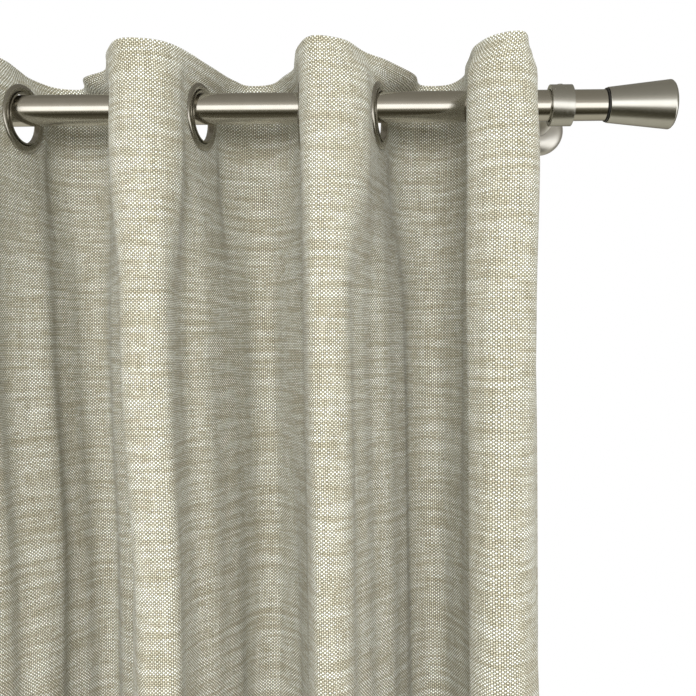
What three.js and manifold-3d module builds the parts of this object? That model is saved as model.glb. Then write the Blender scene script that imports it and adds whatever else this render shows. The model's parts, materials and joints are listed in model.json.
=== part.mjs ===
// A pair of grommet-top window curtains on a metal rod, with two wall brackets and two flared
// finials. Millimetres, +Z up, +Y towards the wall, +X to the right as seen from the room.
// The origin is the centre of the right bracket's wall face.

import Module from "manifold-3d";
import * as THREE from "three";
import { mergeVertices } from "three/addons/utils/BufferGeometryUtils.js";

// Clearance between pieces that touch.
const GAP = 0.3;

// Rod: a round tube with a pressed-in plug at each end that takes the finial's stud.
const ROD_LENGTH = 1524;
const ROD_RADIUS = 12.7;
const ROD_WALL = 1.5;
const ROD_OVERHANG = 37; // from the middle of a bracket to the rod's end
const PLUG_LENGTH = 24;

// Finial: a flared cone on a threaded stud, with a black washer between it and the rod.
const FINIAL_LENGTH = 53.5;
const FINIAL_NECK_STEP = 1.75; // the neck's radius beyond the rod's
const FINIAL_FLARE = 5.8; // the mouth's radius beyond the neck's
const FINIAL_EDGE = 1.6; // rounding of the outer rim
const FINIAL_STUD_RADIUS = 3;
const FINIAL_STUD_LENGTH = 22;
const WASHER_STEP = 1.2; // the washer's radius beyond the rod's
const WASHER_THICKNESS = 1.2;

// Bracket: a closed ring round the rod, a straight post, and a covered disc screwed to the wall.
const PROJECTION = 90; // wall to rod axis
const RING_CLEARANCE = 0.55; // rod to the ring's bore
const RING_WALL = 3.65;
const RING_WIDTH = 18;
const RING_CHAMFER = 0.7;
const POST_RADIUS = 6.75;
const POST_STUD_RADIUS = 2.5;
const GRUB_RADIUS = 2.5;
const GRUB_PROUD = 0.6;
const GRUB_SOCKET_RADIUS = 1.25;
const GRUB_SOCKET_DEPTH = 2;
const DISC_RADIUS = 20;
const DISC_THICKNESS = 4;
const SPIGOT_RADIUS = 4.4;
const SPIGOT_LENGTH = 12;
const COVER_LIP = 3; // the cover's radius beyond the disc's
const COVER_ROOM = 3.8; // the cover's top above the screw heads
const COVER_WALL = 1.2;
// The dome's section as shares of its radius and depth, from the rim up.
const COVER_DOME = [[1, 0], [0.99, 0.3], [0.9, 0.68], [0.7, 0.9]];
const WALL_SCREW_RADIUS = 2;
const WALL_SCREW_HEAD_RADIUS = 3.4;
const WALL_SCREW_HEAD = 2.4;
const WALL_SCREW_CROWN_RADIUS = 2.38; // flat of the head's domed top
const WALL_SCREW_LENGTH = 30;
const WALL_SCREW_CIRCLE = 13; // screws above and below the post

// Curtain panel: a flat cloth gathered into even folds by its grommets.
const PANEL_WIDTH = 1270; // flat width
const PANEL_LENGTH = 2134;
const CLOTH_THICKNESS = 1.2;
const EDGE_MARGIN = 50; // side edge to the first grommet, along the cloth
const TOP_MARGIN = 43; // top edge to the grommets' centres
const PARK_CLEARANCE = 14; // bracket ring's face to the outermost grommet
const FOLD_PITCH = 73.7; // grommet to grommet along the rod
const RETURN_PITCH = 53.5; // the tighter last fold, beside the bracket
// How steeply the cloth crosses the rod at each grommet, from the leading edge outwards.
const CROSSING_DEGREES = [75, 75, 76, 75, 87, 75, 93, 75];
// How far each grommet hangs outwards of its even place.
const GROMMET_SHIFT = [0, 0, 1.3, 0, 10.4, 0, 3.5, 0];
const ARC_STEPS = 10;

// Grommet: two snap-together rings that clamp the cloth.
const GROMMET_HOLE_RADIUS = 20;
const GROMMET_FLANGE = 8; // width of the flange round the hole
const GROMMET_RISE = 3; // how far a flange stands off the cloth
const GROMMET_LIP = 1; // width of the slope into the hole
const GROMMET_LIP_DROP = 0.6;
const BARREL_WALL = 1.3;

const ROD_SEGMENTS = 24;
const RING_SEGMENTS = 24;
const POST_SEGMENTS = 16;
const SCREW_SEGMENTS = 10;
const GROMMET_SEGMENTS = 16;

const washerRadius = ROD_RADIUS + WASHER_STEP;
const neckRadius = ROD_RADIUS + FINIAL_NECK_STEP;
const mouthRadius = neckRadius + FINIAL_FLARE;
const ringBoreRadius = ROD_RADIUS + RING_CLEARANCE;
const ringRadius = ringBoreRadius + RING_WALL;
const coverRadius = DISC_RADIUS + COVER_LIP;
const coverDepth = DISC_THICKNESS + GAP + WALL_SCREW_HEAD + COVER_ROOM;
const bracketSpan = ROD_LENGTH - 2 * ROD_OVERHANG;
const parkDistance = RING_WIDTH / 2 + PARK_CLEARANCE;
const grommetCount = CROSSING_DEGREES.length;
const clothPitch = (PANEL_WIDTH - 2 * EDGE_MARGIN) / (grommetCount - 1);
const barrelRadius = GROMMET_HOLE_RADIUS + BARREL_WALL;
const grommetRadius = GROMMET_HOLE_RADIUS + GROMMET_FLANGE;
const flangeGap = CLOTH_THICKNESS / 2 + GAP;
// A faceted hole is narrower across its flats, and the flats rest on the rod.
const grommetDrop = GROMMET_HOLE_RADIUS * Math.cos(Math.PI / GROMMET_SEGMENTS) - ROD_RADIUS - GAP;

const wasm = await Module();
wasm.setup();

const finishes = {
  brushedNickel: { color: 0xa9a79c, roughness: 0.32, metalness: 1 },
  satinNickel: { color: 0xb9b7ae, roughness: 0.28, metalness: 1 },
  darkNickel: { color: 0x7c7a72, roughness: 0.3, metalness: 1 },
  zincSteel: { color: 0xb4b4b0, roughness: 0.45, metalness: 1 },
  blackNylon: { color: 0x141412, roughness: 0.6, metalness: 0 },
  linen: { color: 0xb9b29b, roughness: 0.95, metalness: 0 },
};

function mesh(name, geometry, finish) {
  const piece = new THREE.Mesh(geometry, new THREE.MeshStandardMaterial(finishes[finish]));
  piece.name = name;
  return piece;
}

// A turned solid about +Y from [radius, height] points, listed so that the outside goes up.
function turned(points, segments) {
  return new THREE.LatheGeometry(points.map(([r, y]) => new THREE.Vector2(r, y)), segments);
}

// A turned ring: its outline closes on itself away from the axis.
function turnedRing(points, segments) {
  return turned([...points, points[0]], segments);
}

// The same turned solid laid along +X.
function alongX(geometry) {
  return geometry.rotateZ(-Math.PI / 2);
}

function rod(radius, from, to, segments) {
  return turned([[0, from], [radius, from], [radius, to], [0, to]], segments);
}

// Cutting and joining. Triangles that collapse on the axis are dropped first.
function toSolid(geometry) {
  const bare = geometry.clone();
  bare.deleteAttribute("normal");
  bare.deleteAttribute("uv");
  const merged = mergeVertices(bare);
  const index = merged.index.array;
  const kept = [];
  for (let i = 0; i < index.length; i += 3) {
    const [a, b, c] = index.slice(i, i + 3);
    if (a !== b && b !== c && c !== a) {
      kept.push(a, b, c);
    }
  }
  const vertProperties = new Float32Array(merged.attributes.position.array);
  return new wasm.Manifold(new wasm.Mesh({ numProp: 3, vertProperties, triVerts: new Uint32Array(kept) }));
}

function toGeometry(solid) {
  const cut = solid.getMesh();
  const geometry = new THREE.BufferGeometry();
  geometry.setAttribute("position", new THREE.BufferAttribute(new Float32Array(cut.vertProperties), 3));
  geometry.setIndex(new THREE.BufferAttribute(new Uint32Array(cut.triVerts), 1));
  geometry.computeVertexNormals();
  return geometry;
}

// Rod and finials, with x along the rod from the middle of the window.

function makeRodTube() {
  const half = ROD_LENGTH / 2;
  const bore = ROD_RADIUS - ROD_WALL;
  const profile = [[bore, -half], [ROD_RADIUS, -half], [ROD_RADIUS, half], [bore, half]];
  return mesh("rod_tube", alongX(turnedRing(profile, ROD_SEGMENTS)), "brushedNickel");
}

function makeRodEnd(side, sideName) {
  const end = new THREE.Group();
  end.position.x = side * ROD_LENGTH / 2;
  end.rotation.z = side > 0 ? 0 : Math.PI;

  const plugRadius = (ROD_RADIUS - ROD_WALL) * Math.cos(Math.PI / ROD_SEGMENTS) - GAP;
  const threadRadius = FINIAL_STUD_RADIUS + GAP;
  const plug = [[threadRadius, -PLUG_LENGTH], [plugRadius, -PLUG_LENGTH], [plugRadius, 0], [threadRadius, 0]];
  end.add(mesh(`${sideName}_rod_plug`, alongX(turnedRing(plug, POST_SEGMENTS)), "zincSteel"));

  const washerTop = GAP + WASHER_THICKNESS;
  const washer = [[threadRadius, GAP], [washerRadius, GAP], [washerRadius, washerTop], [threadRadius, washerTop]];
  end.add(mesh(`${sideName}_finial_washer`, alongX(turnedRing(washer, ROD_SEGMENTS)), "blackNylon"));

  const neck = washerTop + GAP;
  const mouth = neck + FINIAL_LENGTH;
  const finial = [
    [0, neck - FINIAL_STUD_LENGTH],
    [FINIAL_STUD_RADIUS, neck - FINIAL_STUD_LENGTH],
    [FINIAL_STUD_RADIUS, neck],
    [neckRadius, neck],
    [mouthRadius, mouth - FINIAL_EDGE],
    [mouthRadius - FINIAL_EDGE, mouth],
    [0, mouth],
  ];
  end.add(mesh(`${sideName}_finial`, alongX(turned(finial, ROD_SEGMENTS)), "brushedNickel"));
  return end;
}

// Bracket, with its group's origin on the rod axis at the ring's middle.

function makeRing(sideName) {
  const half = RING_WIDTH / 2;
  const edge = half - RING_CHAMFER;
  const crown = ringRadius - RING_CHAMFER;
  const profile = [
    [ringBoreRadius, -half],
    [crown, -half],
    [ringRadius, -edge],
    [ringRadius, edge],
    [crown, half],
    [ringBoreRadius, half],
  ];
  const reach = ringRadius + RING_CHAMFER;
  const grubHole = rod(GRUB_RADIUS + GAP, 0, reach, SCREW_SEGMENTS).rotateX(Math.PI / 2);
  const studHole = rod(POST_STUD_RADIUS + GAP, 0, reach, SCREW_SEGMENTS);
  const ring = toSolid(alongX(turnedRing(profile, RING_SEGMENTS)));
  const drilled = ring.subtract(toSolid(grubHole)).subtract(toSolid(studHole));
  return mesh(`${sideName}_bracket_ring`, toGeometry(drilled), "satinNickel");
}

function makeGrubScrew(sideName) {
  const tip = ROD_RADIUS + GAP;
  const head = ringRadius + GRUB_PROUD;
  const profile = [
    [0, tip],
    [GRUB_RADIUS, tip],
    [GRUB_RADIUS, head],
    [GRUB_SOCKET_RADIUS, head],
    [GRUB_SOCKET_RADIUS, head - GRUB_SOCKET_DEPTH],
    [0, head - GRUB_SOCKET_DEPTH],
  ];
  const geometry = turned(profile, SCREW_SEGMENTS).rotateX(Math.PI / 2);
  return mesh(`${sideName}_grub_screw`, geometry, "zincSteel");
}

// The post's room end is scooped to the ring and carries a stud; its wall end is bored for the spigot.
function makePost(sideName) {
  const wallEnd = PROJECTION - DISC_THICKNESS - GAP;
  const boreEnd = wallEnd - SPIGOT_LENGTH - GAP;
  const profile = [
    [0, 0],
    [POST_RADIUS, 0],
    [POST_RADIUS, wallEnd],
    [SPIGOT_RADIUS + GAP, wallEnd],
    [SPIGOT_RADIUS + GAP, boreEnd],
    [0, boreEnd],
  ];
  const scoop = alongX(rod(ringRadius + GAP, -RING_WIDTH, RING_WIDTH, RING_SEGMENTS));
  const stud = rod(POST_STUD_RADIUS, ringBoreRadius, ringRadius + POST_STUD_RADIUS, SCREW_SEGMENTS);
  const post = toSolid(turned(profile, POST_SEGMENTS)).subtract(toSolid(scoop)).add(toSolid(stud));
  return mesh(`${sideName}_bracket_post`, toGeometry(post), "brushedNickel");
}

function makeWallDisc(sideName) {
  const face = PROJECTION - DISC_THICKNESS;
  const profile = [
    [0, face - SPIGOT_LENGTH],
    [SPIGOT_RADIUS, face - SPIGOT_LENGTH],
    [SPIGOT_RADIUS, face],
    [DISC_RADIUS, face],
    [DISC_RADIUS, PROJECTION],
    [0, PROJECTION],
  ];
  let disc = toSolid(turned(profile, RING_SEGMENTS));
  for (const height of [WALL_SCREW_CIRCLE, -WALL_SCREW_CIRCLE]) {
    const hole = rod(WALL_SCREW_RADIUS + GAP, face - GAP, PROJECTION + GAP, SCREW_SEGMENTS);
    disc = disc.subtract(toSolid(hole.translate(0, 0, height)));
  }
  return mesh(`${sideName}_wall_disc`, toGeometry(disc), "zincSteel");
}

function makeWallScrew(sideName, placeName, height) {
  const seat = PROJECTION - DISC_THICKNESS - GAP;
  const profile = [
    [0, seat - WALL_SCREW_HEAD],
    [WALL_SCREW_CROWN_RADIUS, seat - WALL_SCREW_HEAD],
    [WALL_SCREW_HEAD_RADIUS, seat],
    [WALL_SCREW_RADIUS, seat],
    [WALL_SCREW_RADIUS, seat + WALL_SCREW_LENGTH - 2 * WALL_SCREW_RADIUS],
    [0, seat + WALL_SCREW_LENGTH],
  ];
  const screw = mesh(`${sideName}_wall_screw_${placeName}`, turned(profile, SCREW_SEGMENTS), "zincSteel");
  screw.position.z = height;
  return screw;
}

// A domed rosette of even wall, slid along the post against the wall.
function makeCover(sideName) {
  const rim = PROJECTION - GAP;
  const bore = POST_RADIUS + GAP;
  const shell = (radius, depth) => COVER_DOME.map(([across, up]) => [radius * across, rim - depth * up]);
  const outer = shell(coverRadius, coverDepth);
  const inner = shell(coverRadius - COVER_WALL, coverDepth - COVER_WALL);
  const profile = [
    [bore, rim - coverDepth],
    ...outer.reverse(),
    ...inner,
    [bore, rim - coverDepth + COVER_WALL],
  ];
  return mesh(`${sideName}_rosette_cover`, turnedRing(profile, RING_SEGMENTS), "satinNickel");
}

function makeBracket(side, sideName) {
  const bracket = new THREE.Group();
  bracket.position.x = side * bracketSpan / 2;
  bracket.add(makeRing(sideName));
  bracket.add(makeGrubScrew(sideName));
  bracket.add(makePost(sideName));
  bracket.add(makeWallDisc(sideName));
  bracket.add(makeWallScrew(sideName, "upper", WALL_SCREW_CIRCLE));
  bracket.add(makeWallScrew(sideName, "lower", -WALL_SCREW_CIRCLE));
  bracket.add(makeCover(sideName));
  return bracket;
}

// Curtain panel. The cloth swings from side to side of the rod: it runs straight through each
// grommet, then turns back through an arc, and keeps its flat length between grommets.

// Grommet places along the rod and headings of the cloth there, on the right-hand panel.
function grommetPlaces() {
  const outermost = bracketSpan / 2 - parkDistance;
  return CROSSING_DEGREES.map((degrees, i) => {
    const foldsOut = grommetCount - 1 - i;
    const inwards = foldsOut > 0 ? RETURN_PITCH + (foldsOut - 1) * FOLD_PITCH : 0;
    const crossing = THREE.MathUtils.degToRad(degrees);
    return { x: outermost - inwards + GROMMET_SHIFT[i], crossing, heading: i % 2 === 0 ? -crossing : crossing };
  });
}

// The fold between two grommets: a circle tangent to both legs, sized so that the legs and the
// arc together are as long as the cloth between the two.
function foldBetween(a, b) {
  const turn = a.crossing + b.crossing;
  const pitch = b.x - a.x;
  const legA = pitch * Math.sin(b.crossing) / Math.sin(turn);
  const legB = pitch * Math.sin(a.crossing) / Math.sin(turn);
  const radius = (legA + legB - clothPitch) / (2 * Math.tan(turn / 2) - turn);
  const tangent = radius * Math.tan(turn / 2);
  return { before: legA - tangent, after: legB - tangent, radius, turn };
}

// Points of the cloth's centre line in plan, each with the cloth's heading there.
function clothLine(places) {
  const first = places[0];
  const at = new THREE.Vector2(Math.cos(first.heading), Math.sin(first.heading));
  at.multiplyScalar(-EDGE_MARGIN).add(new THREE.Vector2(first.x, 0));
  const points = [{ at: at.clone(), heading: first.heading }];
  let leg = EDGE_MARGIN;
  const forward = (heading, length) => {
    at.add(new THREE.Vector2(Math.cos(heading), Math.sin(heading)).multiplyScalar(length));
    points.push({ at: at.clone(), heading });
  };
  for (let i = 0; i + 1 < places.length; i += 1) {
    const fold = foldBetween(places[i], places[i + 1]);
    forward(places[i].heading, leg + fold.before);
    const way = Math.sign(places[i + 1].heading);
    const centre = at.clone().add(sideways(places[i].heading, way * fold.radius));
    for (let step = 1; step <= ARC_STEPS; step += 1) {
      const heading = places[i].heading + way * fold.turn * step / ARC_STEPS;
      at.copy(centre).sub(sideways(heading, way * fold.radius));
      points.push({ at: at.clone(), heading });
    }
    leg = fold.after;
  }
  forward(places.at(-1).heading, leg + EDGE_MARGIN);
  return points;
}

// A step to the left of a heading.
function sideways(heading, distance) {
  return new THREE.Vector2(-Math.sin(heading), Math.cos(heading)).multiplyScalar(distance);
}

function makePanel(side, sideName, places) {
  const line = clothLine(places);
  const edge = (way) => line.map(({ at, heading }) => at.clone().add(sideways(heading, way * CLOTH_THICKNESS / 2)));
  const outline = [...edge(1), ...edge(-1).reverse()].map(({ x, y }) => new THREE.Vector2(side * x, y));
  const wall = new THREE.ExtrudeGeometry(new THREE.Shape(outline), { depth: PANEL_LENGTH, bevelEnabled: false });
  const top = TOP_MARGIN - grommetDrop;
  let cloth = toSolid(wall.translate(0, 0, top - PANEL_LENGTH));
  const holeRadius = (barrelRadius + GAP) / Math.cos(Math.PI / GROMMET_SEGMENTS);
  for (const { x, heading } of places) {
    const hole = rod(holeRadius, -GROMMET_RISE, GROMMET_RISE, GROMMET_SEGMENTS);
    hole.rotateZ(Math.PI + side * heading).translate(side * x, 0, -grommetDrop);
    cloth = cloth.subtract(toSolid(hole));
  }
  return mesh(`${sideName}_panel`, toGeometry(cloth), "linen");
}

// The front half has the barrel that passes through the cloth; the back half snaps round it.
function makeGrommet(name) {
  const crest = flangeGap + GROMMET_RISE;
  const crown = (barrelRadius + grommetRadius) / 2 + GROMMET_LIP;
  const front = [
    [GROMMET_HOLE_RADIUS, -crest],
    [barrelRadius, -crest],
    [barrelRadius, flangeGap],
    [grommetRadius, flangeGap],
    [crown, crest],
    [GROMMET_HOLE_RADIUS + GROMMET_LIP, crest - GROMMET_LIP_DROP],
    [GROMMET_HOLE_RADIUS, flangeGap],
  ];
  const backBore = barrelRadius + GAP;
  const back = [
    [backBore, -crest],
    [crown, -crest],
    [grommetRadius, -flangeGap],
    [backBore, -flangeGap],
  ];
  const grommet = new THREE.Group();
  grommet.add(mesh(`${name}_front`, turnedRing(front, GROMMET_SEGMENTS), "darkNickel"));
  grommet.add(mesh(`${name}_back`, turnedRing(back, GROMMET_SEGMENTS), "darkNickel"));
  return grommet;
}

function makeCurtain(side, sideName) {
  const places = grommetPlaces();
  const curtain = new THREE.Group();
  curtain.add(makePanel(side, sideName, places));
  places.forEach(({ x, heading }, i) => {
    const grommet = makeGrommet(`${sideName}_grommet_${i + 1}`);
    grommet.position.set(side * x, 0, -grommetDrop);
    grommet.rotation.z = Math.PI + side * heading;
    curtain.add(grommet);
  });
  return curtain;
}

const curtains = new THREE.Group();
curtains.position.set(-bracketSpan / 2, -PROJECTION, 0);
curtains.add(makeRodTube());
for (const [side, sideName] of [[1, "right"], [-1, "left"]]) {
  curtains.add(makeRodEnd(side, sideName));
  curtains.add(makeBracket(side, sideName));
  curtains.add(makeCurtain(side, sideName));
}

export default curtains;
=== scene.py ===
"""A pair of linen-look grommet curtains on a brushed-nickel rod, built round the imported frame.

Everything is in metres, in the frame's own axes: +X to the right along the rod, +Y towards the
wall and +Z up. The two panels are flat sheets laid out in (u, v): u runs from a panel's leading
edge to its outer edge, v runs down from its top edge. A drape turns flat places into hung ones.
"""

import json
import logging
import math
from dataclasses import dataclass, field, replace
from enum import Enum
from functools import partial
from typing import Callable, Sequence

import bmesh
import bpy
import numpy as np
from mathutils import Matrix, Vector
from mathutils.kdtree import KDTree

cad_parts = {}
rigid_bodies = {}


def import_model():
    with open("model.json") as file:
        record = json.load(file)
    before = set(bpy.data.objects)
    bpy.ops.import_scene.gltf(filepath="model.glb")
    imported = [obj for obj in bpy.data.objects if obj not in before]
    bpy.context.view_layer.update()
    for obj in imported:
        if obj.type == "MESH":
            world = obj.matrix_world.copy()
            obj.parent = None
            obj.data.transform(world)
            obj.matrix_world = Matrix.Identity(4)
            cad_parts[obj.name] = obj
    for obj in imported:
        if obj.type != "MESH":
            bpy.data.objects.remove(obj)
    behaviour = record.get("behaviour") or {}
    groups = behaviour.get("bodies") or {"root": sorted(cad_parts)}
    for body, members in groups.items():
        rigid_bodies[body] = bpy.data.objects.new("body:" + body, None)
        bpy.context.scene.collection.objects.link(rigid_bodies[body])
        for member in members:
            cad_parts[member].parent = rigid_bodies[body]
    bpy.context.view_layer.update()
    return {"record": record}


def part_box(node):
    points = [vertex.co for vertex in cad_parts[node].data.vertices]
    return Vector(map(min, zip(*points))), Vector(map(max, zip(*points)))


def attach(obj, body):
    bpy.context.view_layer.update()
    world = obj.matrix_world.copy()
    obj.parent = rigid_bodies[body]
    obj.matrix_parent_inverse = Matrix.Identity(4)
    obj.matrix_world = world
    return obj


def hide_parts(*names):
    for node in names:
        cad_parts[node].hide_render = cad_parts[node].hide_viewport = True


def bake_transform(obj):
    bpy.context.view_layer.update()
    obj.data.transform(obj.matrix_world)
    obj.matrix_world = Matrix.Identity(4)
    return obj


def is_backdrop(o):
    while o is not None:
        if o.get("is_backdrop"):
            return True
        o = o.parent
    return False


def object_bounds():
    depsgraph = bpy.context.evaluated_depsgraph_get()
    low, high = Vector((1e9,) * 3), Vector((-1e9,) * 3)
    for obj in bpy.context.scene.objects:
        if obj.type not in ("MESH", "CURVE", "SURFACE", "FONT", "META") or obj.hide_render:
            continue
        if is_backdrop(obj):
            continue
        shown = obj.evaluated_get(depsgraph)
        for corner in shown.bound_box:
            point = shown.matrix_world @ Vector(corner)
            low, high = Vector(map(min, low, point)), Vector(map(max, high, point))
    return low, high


logging.basicConfig(level=logging.INFO, format="%(message)s")
log = logging.getLogger("curtains")

MM = 0.001
GROMMETS = 8  # on each panel
YARN_LANE = 7.31  # sets neighbouring yarns so far apart in the noise that they differ
BANDS_PER_WAVE = 20  # a wave texture draws this many bands for each unit of its scale
Profile = list[tuple[float, float]]
Offsets = tuple[tuple[float, float], ...]
Node = bpy.types.Node
Socket = bpy.types.NodeSocket


class Side(Enum):
    """Which half of the window a piece belongs to, as the sign of its X from the middle."""

    RIGHT = 1
    LEFT = -1

    @property
    def label(self) -> str:
        """The side's name as the frame writes it."""
        return self.name.lower()


class Axis(Enum):
    """The direction a turned piece's axis points in."""

    ALONG_ROD = "x"
    TO_WALL = "y"
    UP = "z"


# ---------------------------------------------------------------------------------------------
# Node and colour helpers


def linear(hex_colour: str) -> tuple[float, float, float, float]:
    """Turns an sRGB hex colour into linear light.

    Args:
        hex_colour: six hex digits with a leading hash sign.

    Returns:
        Red, green, blue and an alpha of 1, linear.
    """
    values = [int(hex_colour[i : i + 2], 16) / 255 for i in (1, 3, 5)]
    red, green, blue = (c / 12.92 if c <= 0.04045 else ((c + 0.055) / 1.055) ** 2.4 for c in values)
    return red, green, blue, 1.0


def add_node(
    tree: bpy.types.NodeTree, kind: str, inputs: dict | Sequence = (), **settings: object
) -> Node:
    """Adds one node with its settings, values and links.

    Args:
        tree: the node tree to add to.
        kind: the node's type name.
        inputs: by name, by index or in order, what each input gets: a plain value, a socket to
            link from, or a node to link from by its first output.
        settings: attributes of the node.

    Returns:
        The new node.
    """
    node = tree.nodes.new(kind)
    for name, value in settings.items():
        setattr(node, name, value)
    for key, value in inputs.items() if isinstance(inputs, dict) else enumerate(inputs):
        if isinstance(value, Node):
            value = value.outputs[0]
        if isinstance(value, Socket):
            tree.links.new(value, node.inputs[key])
        else:
            node.inputs[key].default_value = value
    return node


def set_stops(node: Node, stops: Sequence[tuple[float, str]]) -> Node:
    """Sets the stops of a colour ramp.

    Args:
        node: the ramp's node.
        stops: place and hex colour of each stop.

    Returns:
        The same node.
    """
    elements = node.color_ramp.elements
    for i, (place, colour) in enumerate(stops):
        element = elements[i] if i < len(elements) else elements.new(place)
        element.position = place
        element.color = linear(colour)
    return node


def start_material(name: str) -> tuple[bpy.types.Material, bpy.types.NodeTree, Node]:
    """Makes a material that holds only its Principled shader and output.

    Args:
        name: the material's name.

    Returns:
        The material, its node tree and its Principled node.
    """
    material = bpy.data.materials.new(name)
    material.use_nodes = True
    tree = material.node_tree
    shader = next(n for n in tree.nodes if n.type == "BSDF_PRINCIPLED")
    return material, tree, shader


# ---------------------------------------------------------------------------------------------
# Finishes


@dataclass(frozen=True)
class LinenFinish:
    """Plain-woven linen-look polyester with slubby weft yarns.

    A matt, dry cloth: thick and thin yarns catch the light in short level streaks, each yarn has
    painted shade towards its edges, gaps between yarns read as small dots of painted shade, and a
    few brown flecks sit in the yarn. Each tone pattern swings about a half, and a yarn's level adds
    them up by weight from a base.
    """

    name: str = "slubbed_linen_weave"
    warp_pitch: float = 1.62 * MM
    weft_pitch: float = 1.38 * MM
    weft: str = "#f9fcf7"
    weft_dull: str = "#c6c1b0"
    warp: str = "#b4b19b"
    warp_dull: str = "#7c785f"
    # edge is painted shade, where a yarn dives under its crossing yarns
    edge: str = "#463f2b"
    # gap is painted shade, in the hollows where four yarn crossings meet
    gap: str = "#120d06"
    fleck: str = "#5a5040"
    wavers_per_metre: float = 150.0
    waver: tuple[float, float, float] = (1.0 * MM, 0.9 * MM, 0.0)
    slub_length: float = 8 * MM
    drift_length: float = 55 * MM
    warp_slub_length: float = 30 * MM
    band_size: tuple[float, float] = (60 * MM, 4.5 * MM)
    column_size: tuple[float, float] = (9 * MM, 160 * MM)
    fleck_size: tuple[float, float] = (2.6 * MM, 1.1 * MM)
    fleck_from: float = 0.77
    fleck_cover: float = 0.75
    gap_cover: float = 0.95
    weft_base: float = -2.95
    warp_base: float = -0.95
    warp_height: float = 0.7
    roughness: float = 0.92
    sheen: float = 0.1
    specular: float = 0.25
    relief: float = 0.35 * MM
    relief_strength: float = 0.55

    def build(self) -> bpy.types.Material:
        """Builds the cloth material on the sheet's own flat coordinates.

        Returns:
            The material.
        """
        material, tree, shader = start_material(self.name)
        add = partial(add_node, tree)
        sheet = add("ShaderNodeAttribute", attribute_name="flat").outputs["Vector"]
        # The third coordinate is the depth into the cloth: it carries the weave over an edge.
        deep = add("ShaderNodeSeparateXYZ", [sheet]).outputs["Z"]
        over_edge = add("ShaderNodeCombineXYZ", [deep, deep])
        flat = add("ShaderNodeVectorMath", [sheet, over_edge], operation="ADD")
        waver = add(
            "ShaderNodeTexNoise", {"Vector": flat, "Scale": self.wavers_per_metre, "Detail": 2.0}
        ).outputs["Color"]
        swing = add("ShaderNodeVectorMath", [waver, (0.5, 0.5, 0.5)], operation="SUBTRACT")
        bent = add("ShaderNodeVectorMath", [swing, self.waver, flat], operation="MULTIPLY_ADD")
        axes = add("ShaderNodeSeparateXYZ", [bent])
        u, v = axes.outputs["X"], axes.outputs["Y"]
        across, warp_row = self._yarn_rows(tree, u, self.warp_pitch)
        down, weft_row = self._yarn_rows(tree, v, self.weft_pitch)
        weave = add("ShaderNodeMath", [across, down], operation="MULTIPLY")

        slub = self._yarn_tone(tree, u, weft_row, self.slub_length, 3.0)
        drift = self._yarn_tone(tree, u, weft_row, self.drift_length, 1.0)
        warp_slub = self._yarn_tone(tree, v, warp_row, self.warp_slub_length, 2.0)
        band = self._streak(tree, flat, self.band_size, 2.0)
        column = self._streak(tree, flat, self.column_size, 2.0)
        weft_level = self._weigh(
            tree, self.weft_base, (drift, 1.2), (slub, 2.6), (band, 2.4), (column, 0.6)
        )
        warp_level = self._weigh(tree, self.warp_base, (band, 0.9), (warp_slub, 2.0))
        weft_up, weft_face = self._yarn_face(
            tree, weave, (0.04, 0.42), weft_level, (self.weft_dull, self.weft)
        )
        warp_up, warp_face = self._yarn_face(
            tree, weave, (-0.06, -0.55), warp_level, (self.warp_dull, self.warp)
        )
        lifted = add("ShaderNodeMath", [weave, -0.01], operation="GREATER_THAN")
        woven = add("ShaderNodeMix", {0: lifted, 6: warp_face, 7: weft_face}, data_type="RGBA")

        # Painted shade: the hollows where four yarn crossings meet darken to the gap tone
        sides = [add("ShaderNodeMath", [wave], operation="ABSOLUTE") for wave in (across, down)]
        nearest = add("ShaderNodeMath", sides, operation="MAXIMUM")
        corner = add(
            "ShaderNodeMapRange",
            {"Value": nearest, "From Min": 0.66, "From Max": 0.2, "To Max": self.gap_cover},
            interpolation_type="SMOOTHSTEP",
        )
        gap_shaded = {0: corner, 6: woven.outputs[2], 7: linear(self.gap)}
        cloth = add("ShaderNodeMix", gap_shaded, data_type="RGBA")
        speck = self._streak(tree, flat, self.fleck_size, 0.0)
        speck = add("ShaderNodeMath", [speck, self.fleck_from], operation="GREATER_THAN")
        speck = add("ShaderNodeMath", [speck, self.fleck_cover], operation="MULTIPLY")
        flecked = {0: speck, 6: cloth.outputs[2], 7: linear(self.fleck)}
        colour = add("ShaderNodeMix", flecked, data_type="RGBA")

        warp_lift = add("ShaderNodeMath", [warp_up, self.warp_height], operation="MULTIPLY")
        height = add("ShaderNodeMath", [weft_up, warp_lift], operation="MAXIMUM")
        bump = add(
            "ShaderNodeBump",
            {"Height": height, "Strength": self.relief_strength, "Distance": self.relief},
        )
        tree.links.new(colour.outputs[2], shader.inputs["Base Color"])
        tree.links.new(bump.outputs[0], shader.inputs["Normal"])
        shader.inputs["Roughness"].default_value = self.roughness
        shader.inputs["Sheen Weight"].default_value = self.sheen
        shader.inputs["Specular IOR Level"].default_value = self.specular
        return material

    @staticmethod
    def _yarn_rows(tree: bpy.types.NodeTree, place: Socket, pitch: float) -> tuple[Node, Node]:
        """Divides the cloth into yarns that lie side by side.

        Args:
            tree: the node tree to add to.
            place: distance across the yarns.
            pitch: the yarns' spacing.

        Returns:
            The yarns' wave over and under, and the number of the yarn.
        """
        angle = add_node(tree, "ShaderNodeMath", [place, math.pi / pitch], operation="MULTIPLY")
        wave = add_node(tree, "ShaderNodeMath", [angle], operation="SINE")
        count = add_node(tree, "ShaderNodeMath", [place, pitch], operation="DIVIDE")
        return wave, add_node(tree, "ShaderNodeMath", [count], operation="FLOOR")

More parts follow.
